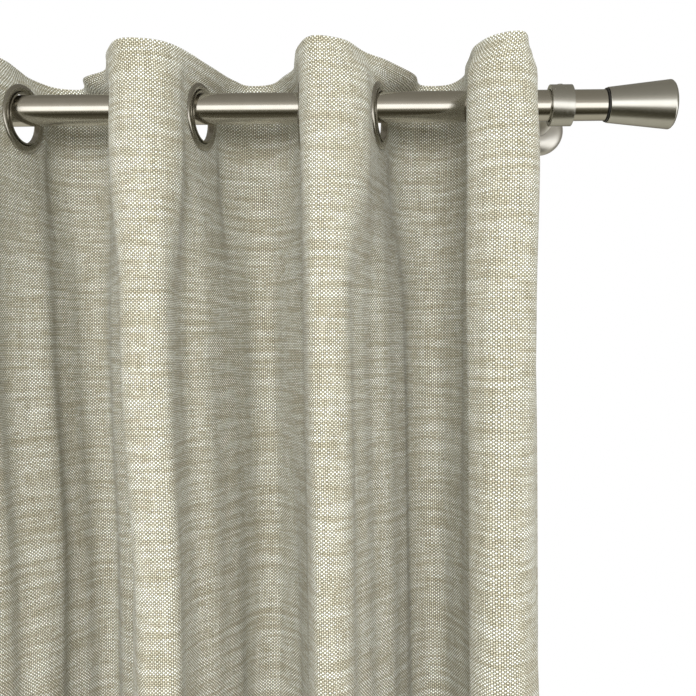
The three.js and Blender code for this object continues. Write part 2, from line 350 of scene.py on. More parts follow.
    @staticmethod
    def _yarn_tone(
        tree: bpy.types.NodeTree, along: Socket, row: Node, length: float, detail: float
    ) -> Node:
        """Tone along each yarn, different from yarn to yarn.

        Args:
            tree: the node tree to add to.
            along: distance along the yarns.
            row: the yarn's number.
            length: how far a thick or thin place runs.
            detail: the noise's octaves.

        Returns:
            The tone, about a half.
        """
        run = add_node(tree, "ShaderNodeMath", [along, length], operation="DIVIDE")
        lane = add_node(tree, "ShaderNodeMath", [row, YARN_LANE], operation="MULTIPLY")
        place = add_node(tree, "ShaderNodeCombineXYZ", [run, lane])
        look = {"Vector": place, "Scale": 1.0, "Detail": detail}
        return add_node(tree, "ShaderNodeTexNoise", look)

    @staticmethod
    def _weigh(tree: bpy.types.NodeTree, base: float, *parts: tuple[Node, float]) -> Node | float:
        """Adds up tones by weight.

        Args:
            tree: the node tree to add to.
            base: the sum's start.
            parts: each tone and its weight.

        Returns:
            The sum.
        """
        total = base
        for part in parts:
            total = add_node(tree, "ShaderNodeMath", [*part, total], operation="MULTIPLY_ADD")
        return total

    def _yarn_face(
        self,
        tree: bpy.types.NodeTree,
        weave: Node,
        rise: tuple[float, float],
        level: Node,
        tones: tuple[str, str],
    ) -> tuple[Node, Socket]:
        """Rounds one set of yarns and colours it, with painted shade towards its edges.

        Args:
            tree: the node tree to add to.
            weave: the weave's wave.
            rise: the wave's values at a yarn's edge and at its crown.
            level: how far a yarn is from its dull tone to its full one.
            tones: the dull and the full tone.

        Returns:
            The yarns' height and colour.
        """
        up = add_node(
            tree,
            "ShaderNodeMapRange",
            {"Value": weave, "From Min": rise[0], "From Max": rise[1]},
            interpolation_type="SMOOTHSTEP",
        )
        blend = {0: level, 6: linear(tones[0]), 7: linear(tones[1])}
        yarn = add_node(tree, "ShaderNodeMix", blend, data_type="RGBA").outputs[2]
        # Painted shade: each yarn darkens to the edge tone towards its edges, where it dives under
        # its crossing yarns
        shaded = {0: up, 6: linear(self.edge), 7: yarn}
        return up, add_node(tree, "ShaderNodeMix", shaded, data_type="RGBA").outputs[2]

    @staticmethod
    def _streak(
        tree: bpy.types.NodeTree, flat: Node, size: tuple[float, float], detail: float
    ) -> Node:
        """Noise drawn out along the yarns.

        Args:
            tree: the node tree to add to.
            flat: flat cloth coordinates in metres.
            size: a streak's length along u and v.
            detail: the noise's octaves.

        Returns:
            The noise, about a half.
        """
        scale = (1 / size[0], 1 / size[1], 1.0)
        drawn = add_node(tree, "ShaderNodeMapping", {"Vector": flat, "Scale": scale})
        look = {"Vector": drawn, "Scale": 1.0, "Detail": detail}
        return add_node(tree, "ShaderNodeTexNoise", look)


@dataclass(frozen=True)
class BrushedMetal:
    """Nickel-plated steel, linished round its axis and lacquered.

    Fine scratches round the piece spread each reflection along it, and leave faint rings in the
    highlight. A warm grey-beige tone, a little darker where handling has dulled the lacquer. The
    real scratches lie a few hundredths of a millimetre apart, too fine to show, so grain_pitch
    draws them coarser. They fade on end faces, which are only polished.
    """

    name: str
    tone: str
    dull_tone: str
    roughness: float = 0.26
    scratch: float = 0.10
    grain_axis: Axis = Axis.ALONG_ROD
    grain_pitch: float = 0.7 * MM
    grain_length: float = 60 * MM
    patches_per_metre: float = 45.0
    patch_roughness: float = 0.06
    relief: float = 0.03 * MM
    relief_strength: float = 0.35
    end_face_fade: float = 0.5

    def build(self) -> bpy.types.Material:
        """Builds the metal with its grain across the piece's axis.

        Returns:
            The material.
        """
        material, tree, shader = start_material(self.name)
        add = partial(add_node, tree)
        place = add("ShaderNodeTexCoord").outputs["Object"]
        letter = self.grain_axis.value.upper()
        scale = [1 / (self.grain_pitch if way == letter else self.grain_length) for way in "XYZ"]
        drawn = add("ShaderNodeMapping", {"Vector": place, "Scale": scale})
        grain = add("ShaderNodeTexNoise", {"Vector": drawn, "Scale": 1.0, "Detail": 5.0})
        patches = {"Vector": place, "Scale": self.patches_per_metre, "Detail": 3.0}
        wear = add("ShaderNodeTexNoise", patches)
        tones = {0: wear, 6: linear(self.tone), 7: linear(self.dull_tone)}
        colour = add("ShaderNodeMix", tones, data_type="RGBA")
        rough = [grain, self.scratch, self.roughness]
        rough = [wear, self.patch_roughness, add("ShaderNodeMath", rough, operation="MULTIPLY_ADD")]
        rough = add("ShaderNodeMath", rough, operation="MULTIPLY_ADD")
        facing = add("ShaderNodeSeparateXYZ", [add("ShaderNodeNewGeometry").outputs["Normal"]])
        end_on = add("ShaderNodeMath", [facing.outputs[letter]], operation="ABSOLUTE")
        fade = [end_on, -self.end_face_fade, self.relief_strength]
        strength = add("ShaderNodeMath", fade, operation="MULTIPLY_ADD")
        strength = add("ShaderNodeMath", [strength, 0.0], operation="MAXIMUM")
        bump = add(
            "ShaderNodeBump", {"Height": grain, "Strength": strength, "Distance": self.relief}
        )
        tree.links.new(colour.outputs[2], shader.inputs["Base Color"])
        tree.links.new(rough.outputs[0], shader.inputs["Roughness"])
        tree.links.new(bump.outputs[0], shader.inputs["Normal"])
        shader.inputs["Metallic"].default_value = 1.0
        return material


@dataclass(frozen=True)
class ThreadFinish:
    """Twisted polyester sewing thread, a shade lighter than the cloth."""

    name: str = "hem_thread"
    # light and shade are painted: light on the plies' crowns, shade in the grooves between them
    light: str = "#d6d1bb"
    shade: str = "#a79f86"
    roughness: float = 0.7
    ply_pitch: float = 0.5 * MM

    def build(self) -> bpy.types.Material:
        """Builds the thread with its two-ply twist, drawn as diagonal bands of painted light on the
        plies and painted shade in the grooves between them.

        Returns:
            The material.
        """
        material, tree, shader = start_material(self.name)
        place = add_node(tree, "ShaderNodeTexCoord").outputs["Object"]
        ply = add_node(
            tree,
            "ShaderNodeTexWave",
            {"Vector": place, "Scale": 1 / self.ply_pitch / BANDS_PER_WAVE, "Distortion": 1.0},
            bands_direction="DIAGONAL",
        )
        # Painted light and shade: diagonal bands follow the twist of the plies
        tones = add_node(tree, "ShaderNodeValToRGB", [ply.outputs["Fac"]])
        set_stops(tones, [(0.2, self.shade), (0.7, self.light)])
        tree.links.new(tones.outputs[0], shader.inputs["Base Color"])
        shader.inputs["Roughness"].default_value = self.roughness
        return material


@dataclass(frozen=True)
class NylonFinish:
    """Black moulded nylon, matt with the mould's fine spark grain."""

    name: str = "black_nylon_washer"
    tone: str = "#141412"
    rubbed: str = "#2a2926"
    roughness: float = 0.5
    grains_per_metre: float = 900.0
    relief: float = 0.05 * MM
    relief_strength: float = 0.3

    def build(self) -> bpy.types.Material:
        """Builds the nylon with a fine mould grain.

        Returns:
            The material.
        """
        material, tree, shader = start_material(self.name)
        place = add_node(tree, "ShaderNodeTexCoord").outputs["Object"]
        look = {"Vector": place, "Scale": self.grains_per_metre, "Detail": 2.0}
        grain = add_node(tree, "ShaderNodeTexNoise", look)
        raised = {"Height": grain, "Strength": self.relief_strength, "Distance": self.relief}
        bump = add_node(tree, "ShaderNodeBump", raised)
        tones = add_node(tree, "ShaderNodeValToRGB", [grain])
        set_stops(tones, [(0.4, self.tone), (0.75, self.rubbed)])
        tree.links.new(tones.outputs[0], shader.inputs["Base Color"])
        tree.links.new(bump.outputs[0], shader.inputs["Normal"])
        shader.inputs["Roughness"].default_value = self.roughness
        return material


@dataclass(frozen=True)
class Finishes:
    """Every finish of the set, built once."""

    linen: bpy.types.Material
    thread: bpy.types.Material
    rod: bpy.types.Material
    finial: bpy.types.Material
    bracket: bpy.types.Material
    post: bpy.types.Material
    rosette: bpy.types.Material
    grommet: bpy.types.Material
    zinc: bpy.types.Material
    nylon: bpy.types.Material

    @classmethod
    def build(cls) -> "Finishes":
        """Builds every material.

        Returns:
            The finishes.
        """
        nickel = ("#cbc8c0", "#bab6ac")
        bright = ("#cbcac4", "#bab9b2")
        satin = ("#dbd9d4", "#cecbc4")
        dark = ("#b9b6ae", "#a19d93")
        zinc = ("#c9c9c4", "#b3b3ac")
        wall = Axis.TO_WALL
        return cls(
            linen=LinenFinish().build(),
            thread=ThreadFinish().build(),
            rod=BrushedMetal("brushed_nickel_rod", *nickel, 0.1, 0.05).build(),
            finial=BrushedMetal("brushed_nickel_finial", *bright, 0.14, 0.12).build(),
            bracket=BrushedMetal("satin_nickel_ring", *bright, 0.16, 0.12).build(),
            post=BrushedMetal("brushed_nickel_post", *nickel, 0.22, 0.1, wall).build(),
            rosette=BrushedMetal("satin_nickel_rosette", *satin, 0.32, 0.1, wall).build(),
            grommet=BrushedMetal("dark_nickel_grommet", *dark, 0.16, 0.1).build(),
            zinc=BrushedMetal("zinc_plated_steel", *zinc, 0.34, 0.1, wall).build(),
            nylon=NylonFinish().build(),
        )


# ---------------------------------------------------------------------------------------------
# Mesh helpers


def mesh_object(
    name: str, points: np.ndarray, faces: Sequence[Sequence[int]], material: bpy.types.Material
) -> bpy.types.Object:
    """Makes a mesh object at the origin with its place in its mesh.

    Args:
        name: the object's name.
        points: one row per vertex, in metres.
        faces: vertex numbers of each face.
        material: the finish.

    Returns:
        The object.
    """
    mesh = bpy.data.meshes.new(name)
    mesh.from_pydata([tuple(map(float, p)) for p in points], [], faces)
    mesh.materials.append(material)
    made = bpy.data.objects.new(name, mesh)
    bpy.context.scene.collection.objects.link(made)
    return made


def smooth(piece: bpy.types.Object, sharp_degrees: float = 35) -> None:
    """Shades a mesh smooth with sharp edges past an angle.

    Args:
        piece: the mesh object.
        sharp_degrees: edges bent more than this stay sharp.
    """
    piece.data.shade_smooth()
    piece.data.set_sharp_from_angle(angle=math.radians(sharp_degrees))


def close_up(piece: bpy.types.Object) -> None:
    """Merges doubles and points every face outwards.

    Args:
        piece: a closed mesh object.
    """
    work = bmesh.new()
    work.from_mesh(piece.data)
    bmesh.ops.remove_doubles(work, verts=work.verts, dist=1e-6)
    bmesh.ops.recalc_face_normals(work, faces=work.faces)
    work.to_mesh(piece.data)
    work.free()


def rounded(profile: Profile, radius: float, steps: int = 5, closed: bool = False) -> Profile:
    """Rounds a profile's corners.

    Args:
        profile: (radius, height) points.
        radius: the round's size; each corner takes what its sides leave room for.
        steps: points in each round.
        closed: whether the outline closes on itself.

    Returns:
        The profile with its corners rounded.
    """
    points = [Vector(p) for p in profile]
    made: Profile = []
    for i, corner in enumerate(points):
        if not closed and i in (0, len(points) - 1):
            made.append(tuple(corner))
            continue
        before, after = points[i - 1] - corner, points[(i + 1) % len(points)] - corner
        cut = min(radius, before.length * 0.45, after.length * 0.45)
        start, end = corner + before.normalized() * cut, corner + after.normalized() * cut
        for step in range(steps + 1):
            t = step / steps
            made.append(tuple(start.lerp(corner, t).lerp(corner.lerp(end, t), t)))
    return made


def section(inner: float, outer: float, start: float, end: float) -> Profile:
    """The outline of a plain ring, or of a rod where the inner radius is 0.

    Args:
        inner: the inner radius.
        outer: the outer radius.
        start: the height it starts at.
        end: the height it ends at.

    Returns:
        Four (radius, height) points.
    """
    return [(inner, start), (outer, start), (outer, end), (inner, end)]


def placed(points: np.ndarray, axis: Axis, centre: Vector) -> np.ndarray:
    """Turns points about +Z into the frame.

    Args:
        points: rows of x, y, z with the axis along z.
        axis: where the axis points in the frame.
        centre: where the local origin goes.

    Returns:
        The placed points.
    """
    order = {Axis.ALONG_ROD: [2, 0, 1], Axis.TO_WALL: [1, 2, 0], Axis.UP: [0, 1, 2]}[axis]
    return points[:, order] + np.array(centre)


def turned(
    name: str,
    profile: Profile,
    axis: Axis,
    centre: Vector,
    material: bpy.types.Material,
    segments: int = 96,
    closed: bool = False,
) -> bpy.types.Object:
    """Turns a profile about an axis.

    Args:
        name: the object's name.
        profile: (radius, height) points; an open one starts and ends on the axis.
        axis: the direction heights are measured in.
        centre: the point of zero height on the axis.
        material: the finish.
        segments: steps round the axis.
        closed: whether the profile closes on itself, as a ring's does.

    Returns:
        The turned solid.
    """
    angles = np.arange(segments) * 2 * math.pi / segments
    radii, heights = (np.array([p[i] for p in profile]) for i in (0, 1))
    x = np.outer(radii, np.cos(angles))
    y = np.outer(radii, np.sin(angles))
    z = np.repeat(heights[:, None], segments, axis=1)
    points = placed(np.stack([x, y, z], axis=-1).reshape(-1, 3), axis, centre)
    count = len(profile)
    faces = []
    for i in range(count if closed else count - 1):
        j = (i + 1) % count
        for k in range(segments):
            m = (k + 1) % segments
            faces.append((i * segments + k, i * segments + m, j * segments + m, j * segments + k))
    made = mesh_object(name, points, faces, material)
    close_up(made)
    smooth(made)
    return made


def bake(piece: bpy.types.Object, name: str) -> bpy.types.Object:
    """Turns an object with modifiers into a plain mesh.

    Args:
        piece: the object; it is removed.
        name: the plain mesh's name.

    Returns:
        The plain mesh object.
    """
    graph = bpy.context.evaluated_depsgraph_get()
    mesh = bpy.data.meshes.new_from_object(piece.evaluated_get(graph), depsgraph=graph)
    bpy.data.objects.remove(piece)
    mesh.name = name
    made = bpy.data.objects.new(name, mesh)
    bpy.context.scene.collection.objects.link(made)
    return made


def cut(piece: bpy.types.Object, cutter: bpy.types.Object) -> bpy.types.Object:
    """Cuts one solid out of another.

    Args:
        piece: what is cut; it is replaced.
        cutter: the shape taken away; it is removed.

    Returns:
        The cut piece as a plain mesh.
    """
    modifier = piece.modifiers.new("cut", "BOOLEAN")
    modifier.operation = "DIFFERENCE"
    modifier.object = cutter
    name = piece.name
    made = bake(piece, name)
    made.name = name
    bpy.data.objects.remove(cutter)
    smooth(made)
    return made


def mount(piece: bpy.types.Object, body: str, slot: str, *nodes: str) -> bpy.types.Object:
    """Rides a piece on its body in place of its frame nodes.

    Args:
        piece: the finished piece.
        body: the frame body it moves with.
        slot: the record's material slot; not used.
        nodes: the frame nodes that it stands for.

    Returns:
        The piece.
    """
    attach(piece, body)
    if nodes:
        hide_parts(*nodes)
    log.info("%s on %s: %d faces", piece.name, body, len(piece.data.polygons))
    return piece


def middle(*nodes: str) -> Vector:
    """The middle of the box round some frame nodes.

    Args:
        nodes: node names.

    Returns:
        The box's centre.
    """
    boxes = [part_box(n) for n in nodes]
    low = Vector([min(b[0][i] for b in boxes) for i in range(3)])
    high = Vector([max(b[1][i] for b in boxes) for i in range(3)])
    return (low + high) / 2


# ---------------------------------------------------------------------------------------------
# Geometry Nodes trees


@dataclass
class NodeShape:
    """A Geometry Nodes tree with named inputs, used as a modifier and then baked."""

    name: str
    sockets: dict[str, tuple[str, object]]
    wire: Callable[[bpy.types.NodeTree, Node], Node]
    tree: bpy.types.NodeTree = field(init=False)

    def __post_init__(self) -> None:
        """Builds the tree, ending in Realize Instances and Set Material."""
        self.tree = bpy.data.node_groups.new(self.name, "GeometryNodeTree")
        ports = self.tree.interface
        ports.new_socket("Geometry", in_out="INPUT", socket_type="NodeSocketGeometry")
        for label, (kind, default) in self.sockets.items():
            socket = ports.new_socket(label, in_out="INPUT", socket_type=kind)
            socket.default_value = default
        ports.new_socket("Finish", in_out="INPUT", socket_type="NodeSocketMaterial")
        ports.new_socket("Geometry", in_out="OUTPUT", socket_type="NodeSocketGeometry")
        entry = self.tree.nodes.new("NodeGroupInput")
        real = add_node(self.tree, "GeometryNodeRealizeInstances", [self.wire(self.tree, entry)])
        finish = {"Geometry": real, "Material": entry.outputs["Finish"]}
        dressed = add_node(self.tree, "GeometryNodeSetMaterial", finish)
        add_node(self.tree, "NodeGroupOutput", [dressed])

    def make(
        self, name: str, base: bpy.types.Object, finish: bpy.types.Material, **values: float | int
    ) -> bpy.types.Object:
        """Runs the tree on a base object and bakes the result.

        Args:
            name: the finished piece's name.
            base: the object whose geometry goes in; it is removed.
            finish: the material.
            values: inputs by name, with underscores for spaces.

        Returns:
            The plain mesh.
        """
        modifier = base.modifiers.new(self.name, "NODES")
        modifier.node_group = self.tree
        keys = {s.name: s.identifier for s in self.tree.interface.items_tree if s.in_out == "INPUT"}
        modifier[keys["Finish"]] = finish
        for label, value in values.items():
            modifier[keys[label.replace("_", " ")]] = value
        return bake(base, name)


def polyline(name: str, points: np.ndarray, normals: np.ndarray | None = None) -> bpy.types.Object:
    """Makes a mesh of edges through some points, with an optional facing at each.

    Args:
        name: the object's name.
        points: one row per point.
        normals: the surface's facing at each point.

    Returns:
        The object.
    """
    mesh = bpy.data.meshes.new(name)
    edges = [(i, i + 1) for i in range(len(points) - 1)]
    mesh.from_pydata([tuple(map(float, p)) for p in points], edges, [])
    if normals is not None:
        facing = mesh.attributes.new("facing", "FLOAT_VECTOR", "POINT")
        facing.data.foreach_set("vector", normals.astype(np.float32).ravel())
    made = bpy.data.objects.new(name, mesh)
    bpy.context.scene.collection.objects.link(made)
    return made


def wire_stitches(tree: bpy.types.NodeTree, entry: Node) -> Node:
    """Lays short rounded stitches end to end along a line.

    Args:
        tree: the tree to add to.
        entry: its group input.

    Returns:
        The stitches.
    """
    line = add_node(tree, "GeometryNodeMeshToCurve", {"Mesh": entry.outputs["Geometry"]})
    steps = {"Curve": line, "Length": entry.outputs["Stitch Pitch"]}
    spots = add_node(tree, "GeometryNodeCurveToPoints", steps, mode="LENGTH")
    ball = {"Segments": 6, "Rings": 4, "Radius": entry.outputs["Thread Radius"]}
    bead = add_node(tree, "GeometryNodeMeshUVSphere", ball)
    shape = [entry.outputs["Flatness"], 1.0, entry.outputs["Length Ratio"]]
    stretch = add_node(tree, "ShaderNodeCombineXYZ", shape)
    stitch = add_node(tree, "GeometryNodeTransform", {"Geometry": bead, "Scale": stretch})
    attribute = "GeometryNodeInputNamedAttribute"
    facing = add_node(tree, attribute, {"Name": "facing"}, data_type="FLOAT_VECTOR")
    align = "FunctionNodeAlignEulerToVector"
    along = add_node(tree, align, {"Vector": spots.outputs["Tangent"]}, axis="Z")
    turn = {"Rotation": along, "Vector": facing.outputs["Attribute"]}
    outwards = add_node(tree, align, turn, axis="X", pivot_axis="Z")
    laid = {"Points": spots, "Instance": stitch, "Rotation": outwards}
    return add_node(tree, "GeometryNodeInstanceOnPoints", laid)


def wire_thread(tree: bpy.types.NodeTree, entry: Node) -> Node:
    """Winds a screw's thread as a small ridge on a helix up +Z.

    Args:
        tree: the tree to add to.
        entry: its group input.

    Returns:
        The shank in the geometry input joined with its thread.
    """
    helix = add_node(
        tree,
        "GeometryNodeCurveSpiral",
        {
            "Resolution": 20,
            "Rotations": entry.outputs["Turns"],
            "Start Radius": entry.outputs["Start Radius"],
            "End Radius": entry.outputs["End Radius"],
            "Height": entry.outputs["Length"],
        },
    )
    outline = {"Resolution": 4, "Radius": entry.outputs["Ridge"]}
    ridge = add_node(tree, "GeometryNodeCurvePrimitiveCircle", outline)
    wound = {"Curve": helix, "Profile Curve": ridge, "Fill Caps": True}
    thread = add_node(tree, "GeometryNodeCurveToMesh", wound)
    both = tree.nodes.new("GeometryNodeJoinGeometry")
    tree.links.new(thread.outputs[0], both.inputs[0])
    tree.links.new(entry.outputs["Geometry"], both.inputs[0])
    return both


def wire_ring(tree: bpy.types.NodeTree, entry: Node) -> Node:
    """Sweeps a closed outline round a circle and turns the ring to its place.

    Args:
        tree: the tree to add to.
        entry: its group input.

    Returns:
        The ring.
    """
    outline = add_node(tree, "GeometryNodeMeshToCurve", {"Mesh": entry.outputs["Geometry"]})
    path = {"Resolution": 72, "Radius": entry.outputs["Ring Radius"]}
    circle = add_node(tree, "GeometryNodeCurvePrimitiveCircle", path)
    swept = add_node(tree, "GeometryNodeCurveToMesh", {"Curve": circle, "Profile Curve": outline})
    smooth_faces = add_node(tree, "GeometryNodeSetShadeSmooth", {"Geometry": swept})
    tip_up = {"Geometry": smooth_faces, "Rotation": (-math.pi / 2, 0.0, 0.0)}
    upright = add_node(tree, "GeometryNodeTransform", tip_up)
    turn = add_node(tree, "ShaderNodeCombineXYZ", {"Z": entry.outputs["Heading"]})
    put = {"Geometry": upright, "Rotation": turn, "Translation": entry.outputs["Place"]}
    return add_node(tree, "GeometryNodeTransform", put)


# ---------------------------------------------------------------------------------------------
# Rod, finials and brackets


@dataclass
class RodSet:
    """The rod tube, its end plugs, the washers and the flared finials."""

    finishes: Finishes
    wall: float = 1.5 * MM
    stud: float = 3.0 * MM
    stud_hole: float = 3.3 * MM
    neck: float = 14.45 * MM
    finial_edge: float = 1.8 * MM

    def build(self) -> None:
        """Builds the tube and both ends."""
        low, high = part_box("rod_tube")
        centre = (low + high) / 2
        radius = (high.z - low.z) / 2
        half = (high.x - low.x) / 2
        bore = radius - self.wall
        outline = rounded(section(bore, radius, -half, half), 0.5 * MM, closed=True)
        rod = self.finishes.rod
        tube = turned("rod_tube_body", outline, Axis.ALONG_ROD, centre, rod, closed=True)
        mount(tube, "root", "rod_metal", "rod_tube")
        for side in Side:
            self._end(side, centre, half)

    def _end(self, side: Side, rod_centre: Vector, half: float) -> None:
        """Builds one end's plug, washer and finial.

        Args:
            side: which end.
            rod_centre: the rod's middle.
            half: half the rod's length.
        """
        tip = rod_centre + Vector((side.value * half, 0, 0))
        self._plug(side, tip)
        self._washer(side, tip)
        self._finial(side, tip)

    def _plug(self, side: Side, tip: Vector) -> None:
        """Builds the threaded plug inside the tube's end.

        Args:
            side: which end.
            tip: the middle of the tube's end face.
        """
        node = f"{side.label}_rod_plug"
        low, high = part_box(node)
        outer = (high.z - low.z) / 2
        length = high.x - low.x
        outline = rounded(section(self.stud_hole, outer, -length, 0.0), 0.6 * MM, closed=True)
        plug = self._turned_out(side, "plug", outline, tip, self.finishes.zinc, 64, closed=True)
        mount(plug, "root", "zinc_steel", node)

    def _washer(self, side: Side, tip: Vector) -> None:
        """Builds the black washer between rod and finial.

        Args:
            side: which end.
            tip: the middle of the tube's end face.
        """
        node = f"{side.label}_finial_washer"
        low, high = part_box(node)
        outer = (high.z - low.z) / 2
        near, far = sorted(abs(x - tip.x) for x in (low.x, high.x))
        outline = rounded(section(self.stud_hole, outer, near, far), 0.4 * MM, closed=True)
        washer = self._turned_out(side, "washer", outline, tip, self.finishes.nylon, closed=True)
        mount(washer, f"{side.label}_finial_end", "black_nylon", node)

    def _finial(self, side: Side, tip: Vector) -> None:
        """Builds the flared finial on its stud.

        Args:
            side: which end.
            tip: the middle of the tube's end face.
        """
        node = f"{side.label}_finial"
        washer_low, washer_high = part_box(f"{side.label}_finial_washer")
        low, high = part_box(node)
        washer_far = max(abs(x - tip.x) for x in (washer_low.x, washer_high.x))
        mouth = max(abs(x - tip.x) for x in (low.x, high.x))
        mouth_radius = (high.z - low.z) / 2
        neck = washer_far + 0.3 * MM
        neck_radius, stud, stud_end = self.neck, self.stud, mouth - (high.x - low.x)
        outline = [
            (0.0, stud_end),
            (stud, stud_end),
            (stud, neck + 0.4 * MM),
            (neck_radius - 1.2 * MM, neck + 0.4 * MM),
            (neck_radius - 1.0 * MM, neck),
            (neck_radius, neck),
            (mouth_radius, mouth - self.finial_edge),
            (mouth_radius - self.finial_edge, mouth),
            (mouth_radius * 0.62, mouth - 0.4 * MM),
            (mouth_radius * 0.58, mouth - 1.2 * MM),
            (0.0, mouth - 1.4 * MM),
        ]
        outline = rounded(outline, 0.9 * MM)
        finial = self._turned_out(side, "finial_cone", outline, tip, self.finishes.finial, 128)
        mount(finial, f"{side.label}_finial_end", "rod_metal", node)

    @staticmethod
    def _turned_out(
        side: Side,
        name: str,
        outline: Profile,
        tip: Vector,
        finish: bpy.types.Material,
        segments: int = 96,
        closed: bool = False,
    ) -> bpy.types.Object:
        """Turns a piece of one end about the rod's axis.

        Args:
            side: which end.
            name: the piece's name without its side.
            outline: (radius, distance outwards from the tip) points.
            tip: the middle of the tube's end face.
            finish: the material.
            segments: steps round the axis.
            closed: whether the outline closes on itself.

        Returns:
            The turned solid.
        """
        outwards = [(r, h * side.value) for r, h in outline]
        name = f"{side.label}_{name}"
        return turned(name, outwards, Axis.ALONG_ROD, tip, finish, segments, closed)


@dataclass
class Bracket:
    """One wall bracket: ring, clamp screw, post, wall disc with its screws, and rosette."""

    side: Side
    finishes: Finishes
    ring_bore: float = 13.25 * MM
    ring_edge: float = 0.35 * MM
    clamp_hole: float = 2.8 * MM
    clamp_screw: float = 2.5 * MM
    key: float = 1.45 * MM  # the hexagon socket, to its corners
    key_depth: float = 2 * MM
    post_start: float = 14.5 * MM  # behind the rod's axis
    disc_thickness: float = 4 * MM
    disc_hole: float = 2.3 * MM
    shank: float = 1.45 * MM
    screw_head: float = 2.4 * MM
    recess_depth: float = 1.3 * MM
    rosette_wall: float = 1.2 * MM
    rosette_bore: float = 7.0 * MM
    threads: NodeShape | None = None

    def build(self) -> None:
        """Builds every piece of the bracket."""
        self._ring()
        self._grub_screw()
        self._post()
        self._wall_disc()
        for place in ("upper", "lower"):
            self._wall_screw(place)
        self._rosette()

    def _name(self, part: str) -> str:
        """A node's name on this side."""
        return f"{self.side.label}_{part}"

    def _ring(self) -> None:
        """Builds the ring with its clamp hole."""
        node = self._name("bracket_ring")
        low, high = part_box(node)
        centre = (low + high) / 2
        radius, half = (high.z - low.z) / 2, (high.x - low.x) / 2
        outline = rounded(section(self.ring_bore, radius, -half, half), self.ring_edge, closed=True)
        finish = self.finishes.bracket
        ring = turned(self._name("ring"), outline, Axis.ALONG_ROD, centre, finish, closed=True)
        bit = section(0.0, self.clamp_hole, 0.0, radius * 1.2)
        ring = cut(ring, turned("drill", bit, Axis.UP, centre, finish, 32))
        mount(ring, "root", "bracket_metal", node)

    def _grub_screw(self) -> None:
        """Builds the clamp screw with a hexagon socket."""
        node = self._name("grub_screw")
        low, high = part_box(node)
        centre = (low + high) / 2
        half = (high.z - low.z) / 2
        outline = rounded(section(0.0, self.clamp_screw, -half, half), 0.4 * MM)
        zinc = self.finishes.zinc
        screw = turned(self._name("clamp_screw"), outline, Axis.UP, centre, zinc, 40)
        socket = section(0.0, self.key, half - self.key_depth, half + MM)
        screw = cut(screw, turned("hexagon_key", socket, Axis.UP, centre, zinc, 6))
        mount(screw, self._name("clamp_screw"), "zinc_steel", node)

    def _post(self) -> None:
        """Builds the post, scooped to the ring."""
        node = self._name("bracket_post")
        low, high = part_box(node)
        centre = (low + high) / 2
        radius = (high.x - low.x) / 2
        start = middle("rod_tube").y + self.post_start - centre.y
        outline = rounded(section(0.0, radius, start, high.y - centre.y), 0.5 * MM)
        finish = self.finishes.post
        post = turned(self._name("post"), outline, Axis.TO_WALL, centre, finish, 64)
        ring_low, ring_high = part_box(self._name("bracket_ring"))
        scoop_radius = (ring_high.z - ring_low.z) / 2 + 0.15 * MM
        reach = ring_high.x - ring_low.x
        scoop = section(0.0, scoop_radius, -reach, reach)
        ring_centre = middle(self._name("bracket_ring"))
        post = cut(post, turned("scoop", scoop, Axis.ALONG_ROD, ring_centre, finish, 128))
        mount(post, "root", "rod_metal", node)

    def _wall_disc(self) -> None:
        """Builds the disc that is screwed to the wall."""
        node = self._name("wall_disc")
        low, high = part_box(node)
        centre = Vector(((low.x + high.x) / 2, high.y, (low.z + high.z) / 2))
        radius, thickness = (high.x - low.x) / 2, self.disc_thickness
        outline = rounded(section(0.0, radius, -thickness, 0.0), 0.6 * MM)
        zinc = self.finishes.zinc
        disc = turned(self._name("disc"), outline, Axis.TO_WALL, centre, zinc, 96)
        for place in ("upper", "lower"):
            hole_centre = middle(self._name(f"wall_screw_{place}"))
            hole_centre.y = centre.y
            bit = section(0.0, self.disc_hole, -2 * thickness, thickness)
            disc = cut(disc, turned("drill", bit, Axis.TO_WALL, hole_centre, zinc, 32))
        mount(disc, "root", "zinc_steel", node)

    def _wall_screw(self, place: str) -> None:
        """Builds one wall screw with a cross recess and a wound thread.

        Args:
            place: upper or lower.
        """
        node = self._name(f"wall_screw_{place}")
        low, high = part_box(node)
        head_radius, shank = (high.z - low.z) / 2, self.shank
        length, head = high.y - low.y, self.screw_head
        outline = [
            (0.0, 0.0),
            (head_radius * 0.72, 0.15 * MM),
            (head_radius, head * 0.8),
            (head_radius, head),
            (shank, head),
            (shank, length - 5 * MM),
            (0.0, length),
        ]
        zinc = self.finishes.zinc
        screw = turned("shank", rounded(outline, 0.35 * MM), Axis.UP, Vector(), zinc, 32)
        for turn in (0.0, math.pi / 2):
            screw = cut(screw, self._cross_blade(head_radius, turn))
        base = self.threads.make(
            self._name(f"screw_{place}"),
            screw,
            self.finishes.zinc,
            Turns=11.0,
            Start_Radius=shank,
            End_Radius=shank * 0.9,
            Length=length - head - 6 * MM,
            Ridge=0.5 * MM,
        )
        base.data.transform(Matrix.Translation((0, 0, -head)))
        centre = middle(node)
        turn_to_wall = Matrix.Rotation(-math.pi / 2, 4, "X")
        base.data.transform(Matrix.Translation((centre.x, low.y + head, centre.z)) @ turn_to_wall)
        smooth(base, 50)
        mount(base, "root", "zinc_steel", node)

